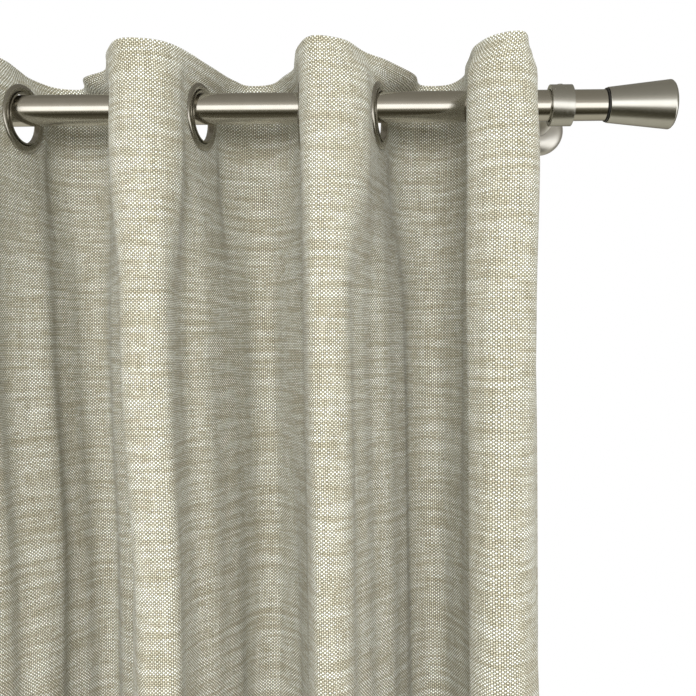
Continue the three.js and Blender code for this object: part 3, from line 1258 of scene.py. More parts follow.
    def _cross_blade(self, head_radius: float, turn: float) -> bpy.types.Object:
        """One arm of the driver that cuts the cross recess.

        Args:
            head_radius: the screw head's radius.
            turn: the arm's angle about the screw.

        Returns:
            The cutting blade.
        """
        reach, thick = head_radius * 0.62, 0.45 * MM
        corners = [(-reach, -thick), (reach, -thick), (reach, thick), (-reach, thick)]
        tip = [(x * 0.45, y) for x, y in corners]
        points = [(x, y, -MM) for x, y in corners] + [(x, y, self.recess_depth) for x, y in tip]
        spin = Matrix.Rotation(turn, 3, "Z")
        faces = [(0, 1, 2, 3), (4, 5, 6, 7), (0, 1, 5, 4), (1, 2, 6, 5), (2, 3, 7, 6), (3, 0, 4, 7)]
        spun = np.array([spin @ Vector(p) for p in points])
        blade = mesh_object("blade", spun, faces, self.finishes.zinc)
        close_up(blade)
        return blade

    def _rosette(self) -> None:
        """Builds the domed cover over the wall disc."""
        node = self._name("rosette_cover")
        low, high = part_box(node)
        centre = Vector(((low.x + high.x) / 2, high.y, (low.z + high.z) / 2))
        radius, depth, wall = (high.x - low.x) / 2, high.y - low.y, self.rosette_wall
        outer = self._dome(radius, depth, self.rosette_bore)
        inner = self._dome(radius - wall, depth - wall, self.rosette_bore)
        profile, finish = [*outer, *reversed(inner)], self.finishes.rosette
        cover = turned(
            self._name("rosette"), profile, Axis.TO_WALL, centre, finish, 128, closed=True
        )
        mount(cover, "root", "bracket_metal", node)

    @staticmethod
    def _dome(radius: float, depth: float, bore: float) -> Profile:
        """A shallow dome's section from its rim to its bore.

        Args:
            radius: the rim's radius.
            depth: the dome's height off the wall.
            bore: the hole's radius.

        Returns:
            The section's points.
        """
        steps, rim = 22, 0.6 * MM
        points: Profile = [(radius, 0.0)]
        for i in range(steps + 1):
            angle = math.pi / 2 * i / steps
            across = bore + (radius - bore) * math.cos(angle) ** 0.9
            points.append((across, -rim - (depth - rim) * math.sin(angle)))
        return points


# ---------------------------------------------------------------------------------------------
# Curtain drape


@dataclass(frozen=True)
class Level:
    """The folds at one height, in millimetres and degrees.

    A fold turns through four points: a shoulder, placed from the grommet before it, two crest
    points, placed from midway between its grommets, and a shoulder placed from the grommet
    after it. Each is (distance along the rod, distance off the rod's axis).
    """

    height: float  # down from the top edge
    leg: float  # cloth that runs straight on either side of a grommet
    shift: tuple[float, ...]  # of each crossing, outwards from its grommet
    crossing: tuple[float, ...]  # how steeply the cloth crosses the rod's line
    folds: tuple[Offsets, ...]


CAD_CROSSING = (75, 75, 76, 75, 87, 75, 93, 75)
TOP = Level(
    0,
    8,
    (0, -7, -5, 6.3, -5.3, 11.7, -3, 1),
    (80, 88, 73, 71, 84, 57, 88, 78),
    (
        ((7, 38), (-10, 68), (12, 66), (-4.5, 30)),
        ((2.5, 36), (-20, 66), (-5, 70), (-26.5, 31)),
        ((13.5, 44), (-12, 68), (9.7, 64), (-10, 30)),
        ((15, 44), (-10.5, 62), (7.5, 61), (-9, 29)),
        ((6, 48), (-22, 69), (-3, 62), (-23, 27)),
        ((21, 35), (-1, 67), (20, 67), (1.5, 42)),
        ((2.5, 46), (-14.5, 67), (1.5, 75), (-12.5, 43)),
    ),
)
WAIST = Level(
    26,
    29,
    (0, 0, 0, 0, 0, 0, 0, 0),
    CAD_CROSSING,
    (
        ((9, 44), (-14, 66), (12, 68), (-9, 44)),
        ((6, 46), (-18, 68), (8, 70), (-9, 46)),
        ((10, 50), (-12, 68), (12, 68), (-9, 48)),
        ((9, 46), (-14, 66), (14, 68), (-4, 46)),
        ((1, 50), (-18, 69), (1, 67), (-10, 46)),
        ((9, 46), (-16, 68), (18, 70), (0, 46)),
        ((-10, 48), (-22, 70), (2.5, 75), (-6, 48)),
    ),
)
LAST_FOLD_BELOW_HEADER = ((-10, 48), (-22, 70), (6.5, 75), (-5, 48))
LOW = Level(
    450,
    8,
    (18, 17, 16, 10, 4, 1, -2, -4),
    (68, 60, 76, 62, 80, 54, 88, 78),
    (
        ((12, 40), (-14, 62), (10, 64), (-17, 38)),
        ((10, 30), (-11, 63), (-2, 66), (-20, 42)),
        ((10, 48), (-12, 68), (8, 64), (-22, 37)),
        ((13, 30), (-11, 62), (3, 65), (-16, 44)),
        ((1, 50), (-18, 69), (-4, 65), (-24, 40)),
        ((15, 30), (-6, 62), (4, 66), (-6, 46)),
        ((-10.5, 48), (-20, 70), (8, 70), (-5, 46)),
    ),
)
HEM = Level(
    2134,
    6,
    (26, 20, 22, 12, 8, 4, 2, -4),
    (62, 66, 72, 66, 74, 70, 78, 74),
    (
        ((10, 44), (-16, 64), (10, 58), (-14, 36)),
        ((12, 38), (-10, 66), (16, 70), (-8, 44)),
        ((8, 46), (-16, 66), (10, 68), (-14, 40)),
        ((14, 38), (-12, 70), (12, 62), (-10, 38)),
        ((6, 46), (-14, 62), (12, 66), (-12, 42)),
        ((10, 42), (-16, 70), (8, 66), (-6, 40)),
        ((0, 44), (-16, 64), (10, 72), (-8, 42)),
    ),
)


@dataclass
class Drape:
    """Hangs a flat panel: header folds set by the grommets, loosening into softer folds below.

    Plan coordinates here are x, along the rod from the window's middle towards the panel's own
    side, and y, off the rod's axis towards the wall.
    """

    grommet_x: list[float]
    grommet_z: float
    width: float = 1.270
    length: float = 2.134
    edge_margin: float = 50 * MM
    top: float = 36.6 * MM
    levels: tuple[Level, ...] = (
        TOP,
        WAIST,
        replace(WAIST, height=76, folds=(*WAIST.folds[:-1], LAST_FOLD_BELOW_HEADER)),
        replace(LOW, height=205, shift=tuple(0.42 * s for s in LOW.shift)),
        LOW,
        HEM,
    )
    seed: int = 7
    table_step: float = 2 * MM
    table_rows: int = 90
    table_growth: float = 1.9  # rows lie closer together near the top
    facing_step: float = 1.5 * MM
    waves: int = 14
    wave_height: float = 1.1 * MM
    calm_share: float = 0.12  # of the waves, left in the pressed header
    flange_clear: float = 30 * MM  # the cloth lies flat this far from a grommet's middle
    pucker_radius: float = 46 * MM
    pucker_width: float = 12 * MM
    pucker_height: float = 0.7 * MM

    def __post_init__(self) -> None:
        """Works out the plan curves once, on a table of heights."""
        self.table_v = np.linspace(0, 1, self.table_rows) ** self.table_growth * self.length
        self.table_u = np.arange(0, self.width + self.table_step, self.table_step)
        known = [self._plan(level) for level in self.levels]
        heights = [level.height * MM for level in self.levels]
        rows = []
        for v in self.table_v:
            i = min(max(int(np.searchsorted(heights, v, side="right")) - 1, 0), len(heights) - 2)
            t = min(max((v - heights[i]) / (heights[i + 1] - heights[i]), 0), 1)
            ease = t * t * (3 - 2 * t)
            rows.append(known[i] * (1 - ease) + known[i + 1] * ease)
        self.table = np.array(rows)
        rng = np.random.default_rng(self.seed)
        waves = self.waves
        self.wave_u = 1 / rng.uniform(0.034, 0.12, waves)
        self.wave_v = rng.uniform(-1, 1, waves) / rng.uniform(0.5, 1.6, waves)
        self.wave_phase = rng.uniform(0, 2 * math.pi, waves)
        self.wave_size = rng.uniform(0.3, 1.0, waves) * self.wave_height
        self.pucker_phase = rng.uniform(0, 2 * math.pi, len(self.grommet_x))

    @property
    def pitch(self) -> float:
        """Cloth between two grommets."""
        return (self.width - 2 * self.edge_margin) / (len(self.grommet_x) - 1)

    @property
    def grommet_u(self) -> np.ndarray:
        """Flat place of each grommet across the panel."""
        return self.edge_margin + np.arange(len(self.grommet_x)) * self.pitch

    @property
    def grommet_v(self) -> float:
        """Flat place of the grommets below the top edge."""
        return self.top - self.grommet_z

    def _plan(self, level: Level) -> np.ndarray:
        """The cloth's curve in plan at one height, on even steps of u.

        Args:
            level: the folds there.

        Returns:
            Rows of x, y, one per step of the table.
        """
        at, way = [], []
        for i, x in enumerate(self.grommet_x):
            at.append(np.array([x + level.shift[i] * MM, 0.0]))
            angle = math.radians(level.crossing[i]) * (-1 if i % 2 == 0 else 1)
            way.append(np.array([math.cos(angle), math.sin(angle)]))
        leg = level.leg * MM
        u_knots, xy_knots = [], []
        for i, fold in enumerate(level.folds):
            room = -1 if i % 2 == 0 else 1
            middle_x = (at[i][0] + at[i + 1][0]) / 2
            from_x = (at[i][0], middle_x, middle_x, at[i + 1][0])
            turn = [
                np.array([x + along * MM, room * off * MM]) for x, (along, off) in zip(from_x, fold)
            ]
            start, end = at[i] + way[i] * leg, at[i + 1] - way[i + 1] * leg
            curve = self._through([start, *turn, end], way[i], way[i + 1])
            curve = np.vstack([at[i][None], curve, at[i + 1][None]])
            run = np.concatenate([[0], np.cumsum(np.linalg.norm(np.diff(curve, axis=0), axis=1))])
            u_knots.append(self.grommet_u[i] + run[:-1] / run[-1] * self.pitch)
            xy_knots.append(curve[:-1])
        half, full = self.edge_margin / 2, self.edge_margin
        first = [at[0] - way[0] * full, at[0] - way[0] * half]
        last = [at[-1] + way[-1] * half, at[-1] + way[-1] * full]
        outer_edge = [self.grommet_u[-1], self.width - half, self.width]
        u = np.concatenate([[0.0, half], *u_knots, outer_edge])
        xy = np.vstack([first, *xy_knots, at[-1][None], last])
        return np.stack([np.interp(self.table_u, u, xy[:, k]) for k in (0, 1)], axis=1)

    @staticmethod
    def _through(points: list[np.ndarray], way_in: np.ndarray, way_out: np.ndarray) -> np.ndarray:
        """A smooth curve through points that starts and ends in given directions.

        Args:
            points: the points, in order.
            way_in: the direction at the first.
            way_out: the direction at the last.

        Returns:
            Points along the curve.
        """
        spans = [max(float(np.linalg.norm(b - a)), 1e-6) for a, b in zip(points, points[1:])]
        slopes = [way_in]
        for i in range(1, len(points) - 1):
            before = (points[i] - points[i - 1]) / spans[i - 1]
            after = (points[i + 1] - points[i]) / spans[i]
            share = spans[i - 1] / (spans[i - 1] + spans[i])
            slopes.append(before * (1 - share) + after * share)
        slopes.append(way_out)
        t = np.linspace(0, 1, 14)[:-1, None]
        pieces = []
        for i, span in enumerate(spans):
            a, b, ma, mb = points[i], points[i + 1], slopes[i] * span, slopes[i + 1] * span
            pieces.append(
                (2 * t**3 - 3 * t**2 + 1) * a
                + (t**3 - 2 * t**2 + t) * ma
                + (3 * t**2 - 2 * t**3) * b
                + (t**3 - t**2) * mb
            )
        return np.vstack([*pieces, points[-1][None]])

    def _shape(self, u: np.ndarray, v: np.ndarray) -> np.ndarray:
        """Plan table looked up at flat places.

        Args:
            u: places across.
            v: places down.

        Returns:
            x, y, z rows before wrinkles.
        """
        row = np.clip(np.searchsorted(self.table_v, v, side="right") - 1, 0, self.table_rows - 2)
        fv = (v - self.table_v[row]) / (self.table_v[row + 1] - self.table_v[row])
        fu = np.clip(u, 0, self.width) / self.table_step
        col = np.clip(fu.astype(int), 0, len(self.table_u) - 2)
        fu = (fu - col)[..., None]
        fv = np.clip(fv, 0, 1)[..., None]
        near = self.table[row, col] * (1 - fu) + self.table[row, col + 1] * fu
        far = self.table[row + 1, col] * (1 - fu) + self.table[row + 1, col + 1] * fu
        xy = near * (1 - fv) + far * fv
        return np.concatenate([xy, (self.top - v)[..., None]], axis=-1)

    def _wrinkle(self, u: np.ndarray, v: np.ndarray) -> np.ndarray:
        """How far the cloth stands off its smooth drape.

        Args:
            u: places across.
            v: places down.

        Returns:
            A height for each place.
        """
        free = np.clip((v - 0.02) / 0.25, self.calm_share, 1)
        off = np.zeros_like(u)
        for fu, fv, phase, size in zip(self.wave_u, self.wave_v, self.wave_phase, self.wave_size):
            off += size * np.sin(2 * math.pi * (fu * u + fv * v) + phase)
        off *= free
        flat = np.ones_like(u)
        for i, gu in enumerate(self.grommet_u):
            du, dv = u - gu, v - self.grommet_v
            r = np.hypot(du, dv)
            flat *= np.clip((r - self.flange_clear) / self.flange_clear, 0, 1)
            ring = np.exp(-(((r - self.pucker_radius) / self.pucker_width) ** 2))
            swing = np.sin(4 * np.arctan2(dv, du) + self.pucker_phase[i])
            off += self.pucker_height * ring * swing
        return off * flat

    def place(
        self, u: np.ndarray, v: np.ndarray, off: np.ndarray | float = 0.0
    ) -> tuple[np.ndarray, np.ndarray]:
        """Hangs flat places.

        Args:
            u: places across.
            v: places down.
            off: extra distance off the face, towards the room.

        Returns:
            Points and face directions in plan coordinates.
        """
        step = self.facing_step
        base = self._shape(u, v)
        across = self._shape(u + step, v) - self._shape(u - step, v)
        down = self._shape(u, v + step) - self._shape(u, np.maximum(v - step, 0))
        facing = np.cross(down, across)
        facing /= np.linalg.norm(facing, axis=-1, keepdims=True)
        lift = self._wrinkle(u, v) + off
        return base + facing * np.asarray(lift)[..., None], facing

    def follow(
        self, u: np.ndarray, ratios: Sequence[float], plateau: float = 31 * MM
    ) -> np.ndarray:
        """How much of the leading grommet's travel each place of the cloth is given.

        Within a plateau round a grommet the share is that grommet's own, and it eases between
        grommets.

        Args:
            u: places across.
            ratios: each grommet's share of the travel.
            plateau: half the width that takes a grommet's share.

        Returns:
            A share for each place.
        """
        knots_u, knots_w = [0.0], [ratios[0]]
        for gu, ratio in zip(self.grommet_u, ratios):
            knots_u += [gu - plateau, gu + plateau]
            knots_w += [ratio, ratio]
        knots_u.append(self.width)
        knots_w.append(ratios[-1])
        i = np.clip(np.searchsorted(knots_u, u, side="right") - 1, 0, len(knots_u) - 2)
        ku, kw = np.array(knots_u), np.array(knots_w)
        t = np.clip((u - ku[i]) / np.maximum(ku[i + 1] - ku[i], 1e-9), 0, 1)
        return kw[i] + (kw[i + 1] - kw[i]) * t * t * (3 - 2 * t)


WRINKLE_SEEDS = {Side.RIGHT: 7, Side.LEFT: 19}


@dataclass
class Curtain:
    """One panel: the cloth with its turned hems, its stitching and its eight grommets."""

    side: Side
    finishes: Finishes
    stitches: NodeShape
    rings: NodeShape
    mid_x: float
    rod: Vector
    face: float = 0.6 * MM  # the cloth's front, off the middle of the folds
    thickness: float = 0.9 * MM
    header_thickness: float = 1.35 * MM
    turning: float = 0.9 * MM  # what the folded-in layer of a hem adds
    side_hem: float = 28 * MM
    bottom_hem: float = 100 * MM
    header_depth: float = 100 * MM
    column: float = 5.6 * MM
    hole: float = 22.3 * MM
    drape: Drape = field(init=False)

    def __post_init__(self) -> None:
        """Reads the grommets' places from the frame and sets the drape."""
        self.centres = [middle(*self._grommet_nodes(i)) for i in range(1, GROMMETS + 1)]
        xs = [abs(c.x - self.mid_x) for c in self.centres]
        self.drape = Drape(xs, self.centres[0].z, seed=WRINKLE_SEEDS[self.side])

    @property
    def lead(self) -> str:
        """The body of the leading grommet."""
        return f"{self.side.label}_eyelet_1"

    def _grommet_nodes(self, i: int) -> tuple[str, str]:
        """The frame nodes of a grommet's two halves."""
        return f"{self.side.label}_grommet_{i}_front", f"{self.side.label}_grommet_{i}_back"

    def build(self, ratios: Sequence[float]) -> None:
        """Builds the cloth, its stitches and its grommets.

        Args:
            ratios: each grommet's share of the leading grommet's travel.
        """
        cloth = self._cloth(ratios)
        rows = self._stitch_rows(ratios)
        rings = self._grommets()

    def _to_frame(self, points: np.ndarray) -> np.ndarray:
        """Turns plan coordinates into the frame's."""
        return points * [self.side.value, 1, 1] + [self.mid_x, self.rod.y, self.rod.z]

    def _rows(self) -> np.ndarray:
        """Places down the panel, closer in the header and in the hem."""
        length = self.drape.length
        header = np.arange(0, 0.10, 4.4 * MM)
        upper = np.arange(0.10, 0.62, 9 * MM)
        lower = np.arange(0.62, length - 0.012, 15.5 * MM)
        return np.concatenate([header, upper, lower, [length - 0.006, length]])

    def _cloth(self, ratios: Sequence[float]) -> bpy.types.Object:
        """Builds the cloth as one closed sheet with real thickness, hems and grommet holes.

        Args:
            ratios: each grommet's share of the leading grommet's travel.

        Returns:
            The cloth.
        """
        columns = round(self.drape.width / self.column)
        u, v = np.meshgrid(np.linspace(0, self.drape.width, columns + 1), self._rows())
        u, v, solid = self._open_holes(u, v)
        thickness = self._thickness(u, v)
        front, _ = self.drape.place(u, v, self.face)
        back, _ = self.drape.place(u, v, self.face - thickness)
        points = self._to_frame(np.concatenate([front.reshape(-1, 3), back.reshape(-1, 3)]))
        faces = self._faces(solid)
        if self.side is Side.LEFT:
            faces = [tuple(reversed(f)) for f in faces]
        cloth = mesh_object(f"{self.side.label}_panel_cloth", points, faces, self.finishes.linen)
        flat = np.stack([np.stack([u, v, deep], axis=-1) for deep in (np.zeros_like(u), thickness)])
        attribute = cloth.data.attributes.new("flat", "FLOAT_VECTOR", "POINT")
        attribute.data.foreach_set("vector", flat.astype(np.float32).ravel())
        self._drop_loose(cloth)
        smooth(cloth, 60)
        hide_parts(f"{self.side.label}_panel")
        self._hang_between(cloth, ratios)
        log.info("%s: %d faces", cloth.name, len(cloth.data.polygons))
        return cloth

    def _thickness(self, u: np.ndarray, v: np.ndarray) -> np.ndarray:
        """Cloth thickness, with the folded layers of header and hems on the back.

        Args:
            u: places across.
            v: places down.

        Returns:
            A thickness for each place.
        """
        edge = np.minimum(u, self.drape.width - u)
        header = self.header_thickness - self.thickness
        base = self.thickness + header * np.clip((self.header_depth - v) / (3 * MM), 0, 1)
        hemmed = np.clip((self.side_hem - edge) / (4 * MM), 0, 1)
        bottom = np.clip((v - (self.drape.length - self.bottom_hem)) / (8 * MM), 0, 1)
        return base + self.turning * np.maximum(hemmed * (v > self.header_depth), bottom)

    def _open_holes(
        self, u: np.ndarray, v: np.ndarray
    ) -> tuple[np.ndarray, np.ndarray, np.ndarray]:
        """Leaves out the cells inside each grommet and rounds the edge that is left.

        Args:
            u: places across, on the grid.
            v: places down, on the grid.

        Returns:
            The adjusted places, and which cells are cloth.
        """
        cu = (u[:-1, :-1] + u[1:, 1:]) / 2
        cv = (v[:-1, :-1] + v[1:, 1:]) / 2
        solid = np.ones_like(cu, bool)
        u, v = u.copy(), v.copy()
        for gu in self.drape.grommet_u:
            solid &= np.hypot(cu - gu, cv - self.drape.grommet_v) > self.hole
        open_corner = np.zeros_like(u, bool)
        for dy in (0, 1):
            for dx in (0, 1):
                open_corner[dy : dy + solid.shape[0], dx : dx + solid.shape[1]] |= ~solid
        for gu in self.drape.grommet_u:
            du, dv = u - gu, v - self.drape.grommet_v
            r = np.maximum(np.hypot(du, dv), 1e-6)
            rim = open_corner & (r < self.hole + 8 * MM)
            u[rim] = (gu + du / r * self.hole)[rim]
            v[rim] = (self.drape.grommet_v + dv / r * self.hole)[rim]
        return u, v, solid

    @staticmethod
    def _faces(solid: np.ndarray) -> list[tuple[int, ...]]:
        """Front, back and rim faces of the cloth's grid.

        Args:
            solid: which cells are cloth.

        Returns:
            The faces, pointing outwards.
        """
        rows, columns = solid.shape
        wide = columns + 1
        back = (rows + 1) * wide
        faces: list[tuple[int, ...]] = []
        for r in range(rows):
            for c in range(columns):
                if not solid[r, c]:
                    continue
                a, b = r * wide + c, r * wide + c + 1
                d, e = a + wide, b + wide
                faces.append((a, d, e, b))
                faces.append((a + back, b + back, e + back, d + back))
                around = (
                    ((r - 1, c), (b, a)),
                    ((r + 1, c), (d, e)),
                    ((r, c - 1), (a, d)),
                    ((r, c + 1), (e, b)),
                )
                for (nr, nc), (p, q) in around:
                    inside = 0 <= nr < rows and 0 <= nc < columns and solid[nr, nc]
                    if not inside:
                        faces.append((p, p + back, q + back, q))
        return faces

    @staticmethod
    def _drop_loose(piece: bpy.types.Object) -> None:
        """Removes the grid points that no face uses."""
        work = bmesh.new()
        work.from_mesh(piece.data)
        bmesh.ops.delete(work, geom=[p for p in work.verts if not p.link_faces], context="VERTS")
        work.to_mesh(piece.data)
        work.free()

    def _hang_between(
        self, piece: bpy.types.Object, ratios: Sequence[float], u: np.ndarray | None = None
    ) -> None:
        """Bakes a soft piece's place into its mesh and works out each point's share of the
        grommets' travel; the share is not applied.

        Args:
            piece: the finished mesh.
            ratios: each grommet's share of the leading grommet's travel.
            u: the flat place of each point, read from the mesh when left out.
        """
        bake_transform(piece)
        if u is None:
            flat = np.zeros(len(piece.data.vertices) * 3, np.float32)
            piece.data.attributes["flat"].data.foreach_get("vector", flat)
            u = flat.reshape(-1, 3)[:, 0]
        share = self.drape.follow(u, ratios).astype(np.float32)

    def _stitch_rows(self, ratios: Sequence[float]) -> list[bpy.types.Object]:
        """Sews the side hems and the bottom hem.

        Args:
            ratios: each grommet's share of the leading grommet's travel.

        Returns:
            The rows of stitches.
        """
        d = self.drape
        inset = self.side_hem - 3 * MM
        down = np.arange(self.header_depth + 6 * MM, d.length - 4 * MM, 3 * MM)
        across = np.arange(4 * MM, d.width - 4 * MM, 2 * MM)
        bottom = d.length - self.bottom_hem + 10 * MM
        lines = {
            "leading_hem": (np.full_like(down, inset), down),
            "outer_hem": (np.full_like(down, d.width - inset), down),
            "bottom_hem": (across, np.full_like(across, bottom)),
        }
        made = []
        for name, (u, v) in lines.items():
            points, facing = d.place(u, v, 0.62 * MM)
            points = self._to_frame(points)
            base = polyline("seam", points, facing * [self.side.value, 1, 1])
            row = self.stitches.make(
                f"{self.side.label}_{name}_stitches",
                base,
                self.finishes.thread,
                Stitch_Pitch=4.2 * MM,
                Thread_Radius=0.32 * MM,
                Length_Ratio=5.4,
                Flatness=0.7,
            )
            smooth(row, 80)
            near = self._nearest(row, points, u)
            self._hang_between(row, ratios, near)
            log.info("%s: %d faces", row.name, len(row.data.polygons))
            made.append(row)
        return made

    @staticmethod
    def _nearest(piece: bpy.types.Object, points: np.ndarray, u: np.ndarray) -> np.ndarray:
        """The flat place of the line's point nearest to each vertex.

        Args:
            piece: the stitches.
            points: the line they follow.
            u: the line's flat places.

        Returns:
            One place for each vertex.
        """
        tree = KDTree(len(points))
        for i, p in enumerate(points):
            tree.insert(p, i)
        tree.balance()
        return np.array([u[tree.find(v.co)[1]] for v in piece.data.vertices])

    def _grommets(self) -> list[bpy.types.Object]:
        """Builds both halves of every grommet.

        Returns:
            The rings.
        """
        made = []
        for i, centre in enumerate(self.centres, start=1):
            steep = math.radians(CAD_CROSSING[i - 1]) * (-1 if i % 2 else 1)
            heading = math.pi + self.side.value * steep
            body = f"{self.side.label}_eyelet_{i}" if i < GROMMETS else "root"
            halves = zip(self._grommet_nodes(i), (self._front_outline(), self._back_outline()))
            for node, outline in halves:
                ring = self._ring(node.replace("grommet", "ring"), outline, heading, centre)
                made.append(mount(ring, body, "grommet_metal", node))
        return made

    def _ring(
        self, name: str, outline: Profile, heading: float, centre: Vector
    ) -> bpy.types.Object:
        """Sweeps one ring and sets it in its place.

        Args:
            name: the piece's name.
            outline: the ring's section, as offsets from its middle radius and heights.
            heading: the turn about +Z.
            centre: the grommet's centre.

        Returns:
            The ring.
        """
        middle_radius = 24 * MM
        points = np.array([(r - middle_radius, h, 0.0) for r, h in outline])
        base = polyline("section", np.vstack([points, points[:1]]))
        ring = self.rings.make(
            name,
            base,
            self.finishes.grommet,
            Ring_Radius=middle_radius,
            Heading=heading,
            Place=tuple(centre),
        )
        close_up(ring)
        smooth(ring, 40)
        return ring

    @staticmethod
    def _front_outline() -> Profile:
        """Section of the front half: a rolled flange, a dished lip and the barrel."""
        gap, rise, hole, flange = 0.9 * MM, 2.5 * MM, 20 * MM, 28 * MM
        barrel = hole + 1.3 * MM
        roll = []
        for step in range(13):
            angle = math.pi * step / 12
            across = (hole + flange) / 2 + (flange - hole) / 2 * math.cos(angle)
            roll.append((across, gap + rise * math.sin(angle) ** 0.62))
        end = -(gap + rise)
        return [(barrel, gap), *roll, (hole, 0.0), (hole, end), (barrel, end)]

    @staticmethod
    def _back_outline() -> Profile:
        """Section of the back half: a flatter rolled flange that snaps round the barrel."""
        gap, rise, bore, flange = 0.9 * MM, 2.3 * MM, 21.5 * MM, 28 * MM
        roll = []
        for step in range(11):
            angle = math.pi * step / 10
            across = (bore + flange) / 2 + (flange - bore) / 2 * math.cos(angle)
            roll.append((across, -gap - rise * math.sin(angle) ** 0.7))
        return roll


# ---------------------------------------------------------------------------------------------
# Stage


# What the metals mirror, by height: from the floor's side to the ceiling's.
BANDS_AHEAD = (
    (0.0, "#4b483c"),
    (0.12, "#27241a"),
    (0.2, "#454237"),
    (0.29, "#6a675c"),
    (0.35, "#fffdf8"),
    (0.56, "#ffffff"),
    (0.6, "#a7a49c"),
    (0.8, "#7b7871"),
    (1.0, "#6b6860"),
)
BANDS_BEHIND = (
    (0.0, "#98958a"),
    (0.2, "#8f8c80"),
    (0.45, "#615e55"),
    (0.75, "#5c5952"),
    (1.0, "#66635b"),
)


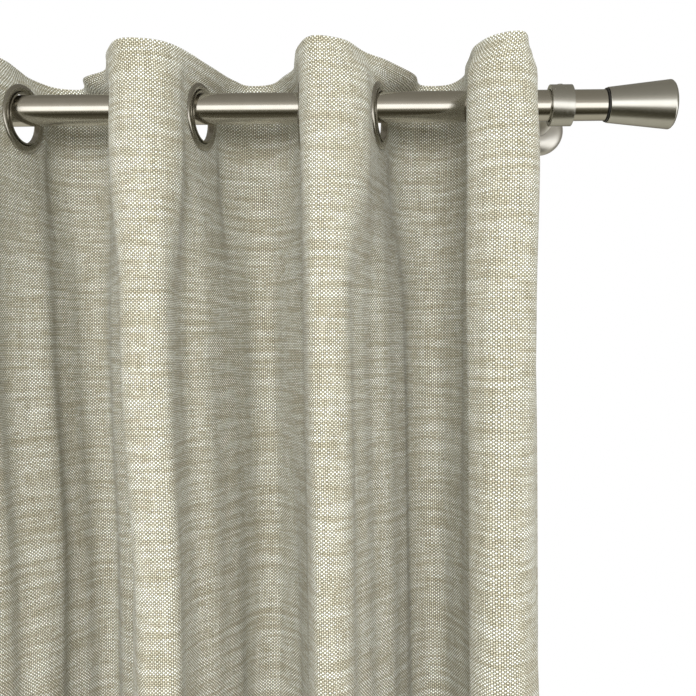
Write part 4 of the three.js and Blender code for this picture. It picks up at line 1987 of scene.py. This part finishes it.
@dataclass
class Stage:
    """A pale floor, soft studio light and the camera."""

    rod: Vector
    ring_x: float
    camera_x: float = -177.5 * MM  # from the right bracket's ring
    camera_distance: float = 760 * MM  # from the rod's axis
    camera_drop: float = 198.9 * MM  # below the rod's axis
    lens: float = 47.5
    roll_degrees: float = 0.59
    band_tilt: float = 0.2
    mirrored_strength: float = 2.0
    soft_tone: str = "#f6f5ee"
    soft_strength: float = 1.12
    floor_size: float = 7.0
    floor_shift: float = 0.7  # of its middle, left of the right bracket's ring
    floor_drop: float = 12 * MM  # below the hems

    def build(self) -> None:
        """Builds the floor, the lights, the sky and the camera."""
        self._floor()
        self._sky()
        self._lights()
        self._camera()
        bpy.context.scene.view_settings.view_transform = "Standard"

    def _floor(self) -> None:
        """Lays a pale floor just below the hems."""
        low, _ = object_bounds()
        half = self.floor_size / 2
        z = low.z - self.floor_drop
        corners = np.array([(-half, -half, z), (half, -half, z), (half, half, z), (-half, half, z)])
        material, tree, shader = start_material("pale_floor")
        place = add_node(tree, "ShaderNodeTexCoord").outputs["Object"]
        cloud = add_node(tree, "ShaderNodeTexNoise", {"Vector": place, "Scale": 0.8})
        stops = [(0.3, "#e9e8e4"), (0.7, "#f1f0ed")]
        tones = set_stops(add_node(tree, "ShaderNodeValToRGB", [cloud]), stops)
        tree.links.new(tones.outputs[0], shader.inputs["Base Color"])
        shader.inputs["Roughness"].default_value = 0.9
        corners += np.array([self.ring_x - self.floor_shift, 0, 0])
        floor = mesh_object("floor", corners, [(0, 1, 2, 3)], material)
        floor.visible_glossy = False
        floor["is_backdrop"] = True

    def _sky(self) -> None:
        """Sets a soft studio surround: white to the camera, banded by height to everything else."""
        world = bpy.data.worlds.new("studio")
        world.use_nodes = True
        bpy.context.scene.world = world
        tree = world.node_tree
        tree.nodes.clear()
        add = partial(add_node, tree)
        axes = add("ShaderNodeSeparateXYZ", [add("ShaderNodeTexCoord").outputs["Generated"]])
        height = add("ShaderNodeMath", [axes.outputs["Z"], 0.5, 0.5], operation="MULTIPLY_ADD")
        # The bands tilt, so that the two flanks of a fold and of the rod differ.
        tilted = [axes.outputs["X"], self.band_tilt, height]
        height = add("ShaderNodeMath", tilted, operation="MULTIPLY_ADD")
        ahead, behind = (
            set_stops(add("ShaderNodeValToRGB", [height]), stops).outputs[0]
            for stops in (BANDS_AHEAD, BANDS_BEHIND)
        )
        back = add(
            "ShaderNodeMapRange",
            {"Value": axes.outputs["Y"], "From Min": -0.2, "From Max": 0.15},
            interpolation_type="SMOOTHSTEP",
        )
        surround = add("ShaderNodeMix", {0: back, 6: ahead, 7: behind}, data_type="RGBA")
        mirrored = add("ShaderNodeBackground", [surround.outputs[2], self.mirrored_strength])
        soft = add("ShaderNodeBackground", [linear(self.soft_tone), self.soft_strength])
        plain = add("ShaderNodeBackground", [(1.0, 1.0, 1.0, 1.0), 1.0])
        rays = add("ShaderNodeLightPath")
        lit = add("ShaderNodeMixShader", [rays.outputs["Is Glossy Ray"], soft, mirrored])
        seen = add("ShaderNodeMixShader", [rays.outputs["Is Camera Ray"], lit, plain])
        add("ShaderNodeOutputWorld", [seen])

    def _lights(self) -> None:
        """Hangs a large key from the front left and a weak fill from the right."""
        lamps = {
            "key": (Vector((0.05, -2.3, 0.4)), 0.9, 49.0),
            "fill": (Vector((1.5, -2.0, 0.1)), 1.6, 6.0),
        }
        aim = Vector((self.ring_x - 0.25, self.rod.y, self.rod.z - 0.25))
        for name, (offset, size, power) in lamps.items():
            lamp = bpy.data.lights.new(name, "AREA")
            lamp.size = size
            lamp.energy = power
            holder = bpy.data.objects.new(name, lamp)
            holder.location = aim + offset
            holder.rotation_mode = "QUATERNION"
            holder.rotation_quaternion = (-offset).to_track_quat("-Z", "Y")
            holder.visible_glossy = False
            bpy.context.scene.collection.objects.link(holder)

    def _camera(self) -> None:
        """Sets the camera level, below the rod and slightly rolled."""
        camera = bpy.data.cameras.new("camera")
        camera.lens = self.lens
        camera.sensor_width = 36.0
        camera.clip_start = 0.01
        holder = bpy.data.objects.new("camera", camera)
        roll = Matrix.Rotation(math.radians(self.roll_degrees), 4, "Y")
        turn = roll @ Matrix.Rotation(math.pi / 2, 4, "X")
        offset = Vector((self.camera_x, -self.camera_distance, -self.camera_drop))
        spot = Vector((self.ring_x, self.rod.y, self.rod.z)) + offset
        holder.matrix_world = Matrix.Translation(spot) @ turn
        bpy.context.scene.collection.objects.link(holder)
        bpy.context.scene.camera = holder


# ---------------------------------------------------------------------------------------------
# The set


def follow_ratios(record: dict, side: Side) -> list[float]:
    """Each grommet's share of the leading grommet's travel, from the frame's couplings.

    Args:
        record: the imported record.
        side: the panel's side.

    Returns:
        Eight shares, from the leading grommet to the parked one.
    """
    couplings = {c["joint"]: c["ratio"] for c in record["behaviour"]["couplings"]}
    inner = [couplings[f"{side.label}_eyelet_{i}_slide"] for i in range(2, GROMMETS)]
    return [1.0, *inner, 0.0]


def main() -> None:
    """Builds the rod set, both brackets and both curtains, then the stage."""
    for leftover in list(bpy.data.objects):
        bpy.data.objects.remove(leftover)
    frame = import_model()
    record = frame["record"]
    finishes = Finishes.build()
    rod = middle("rod_tube")
    ring_x = middle("right_bracket_ring").x
    number = "NodeSocketFloat"
    stitches = NodeShape(
        "hem_stitches",
        {
            "Stitch Pitch": (number, 4 * MM),
            "Thread Radius": (number, 0.3 * MM),
            "Length Ratio": (number, 5.0),
            "Flatness": (number, 0.7),
        },
        wire_stitches,
    )
    rings = NodeShape(
        "grommet_ring",
        {
            "Ring Radius": (number, 24 * MM),
            "Heading": (number, 0.0),
            "Place": ("NodeSocketVector", (0, 0, 0)),
        },
        wire_ring,
    )
    threads = NodeShape(
        "screw_thread",
        {
            "Turns": (number, 10.0),
            "Start Radius": (number, MM),
            "End Radius": (number, MM),
            "Length": (number, 20 * MM),
            "Ridge": (number, 0.5 * MM),
        },
        wire_thread,
    )
    RodSet(finishes).build()
    for side in Side:
        Bracket(side, finishes, threads=threads).build()
    for side in Side:
        curtain = Curtain(side, finishes, stitches, rings, rod.x, rod)
        curtain.build(follow_ratios(record, side))
    Stage(rod, ring_x).build()


if __name__ == "__main__":
    main()
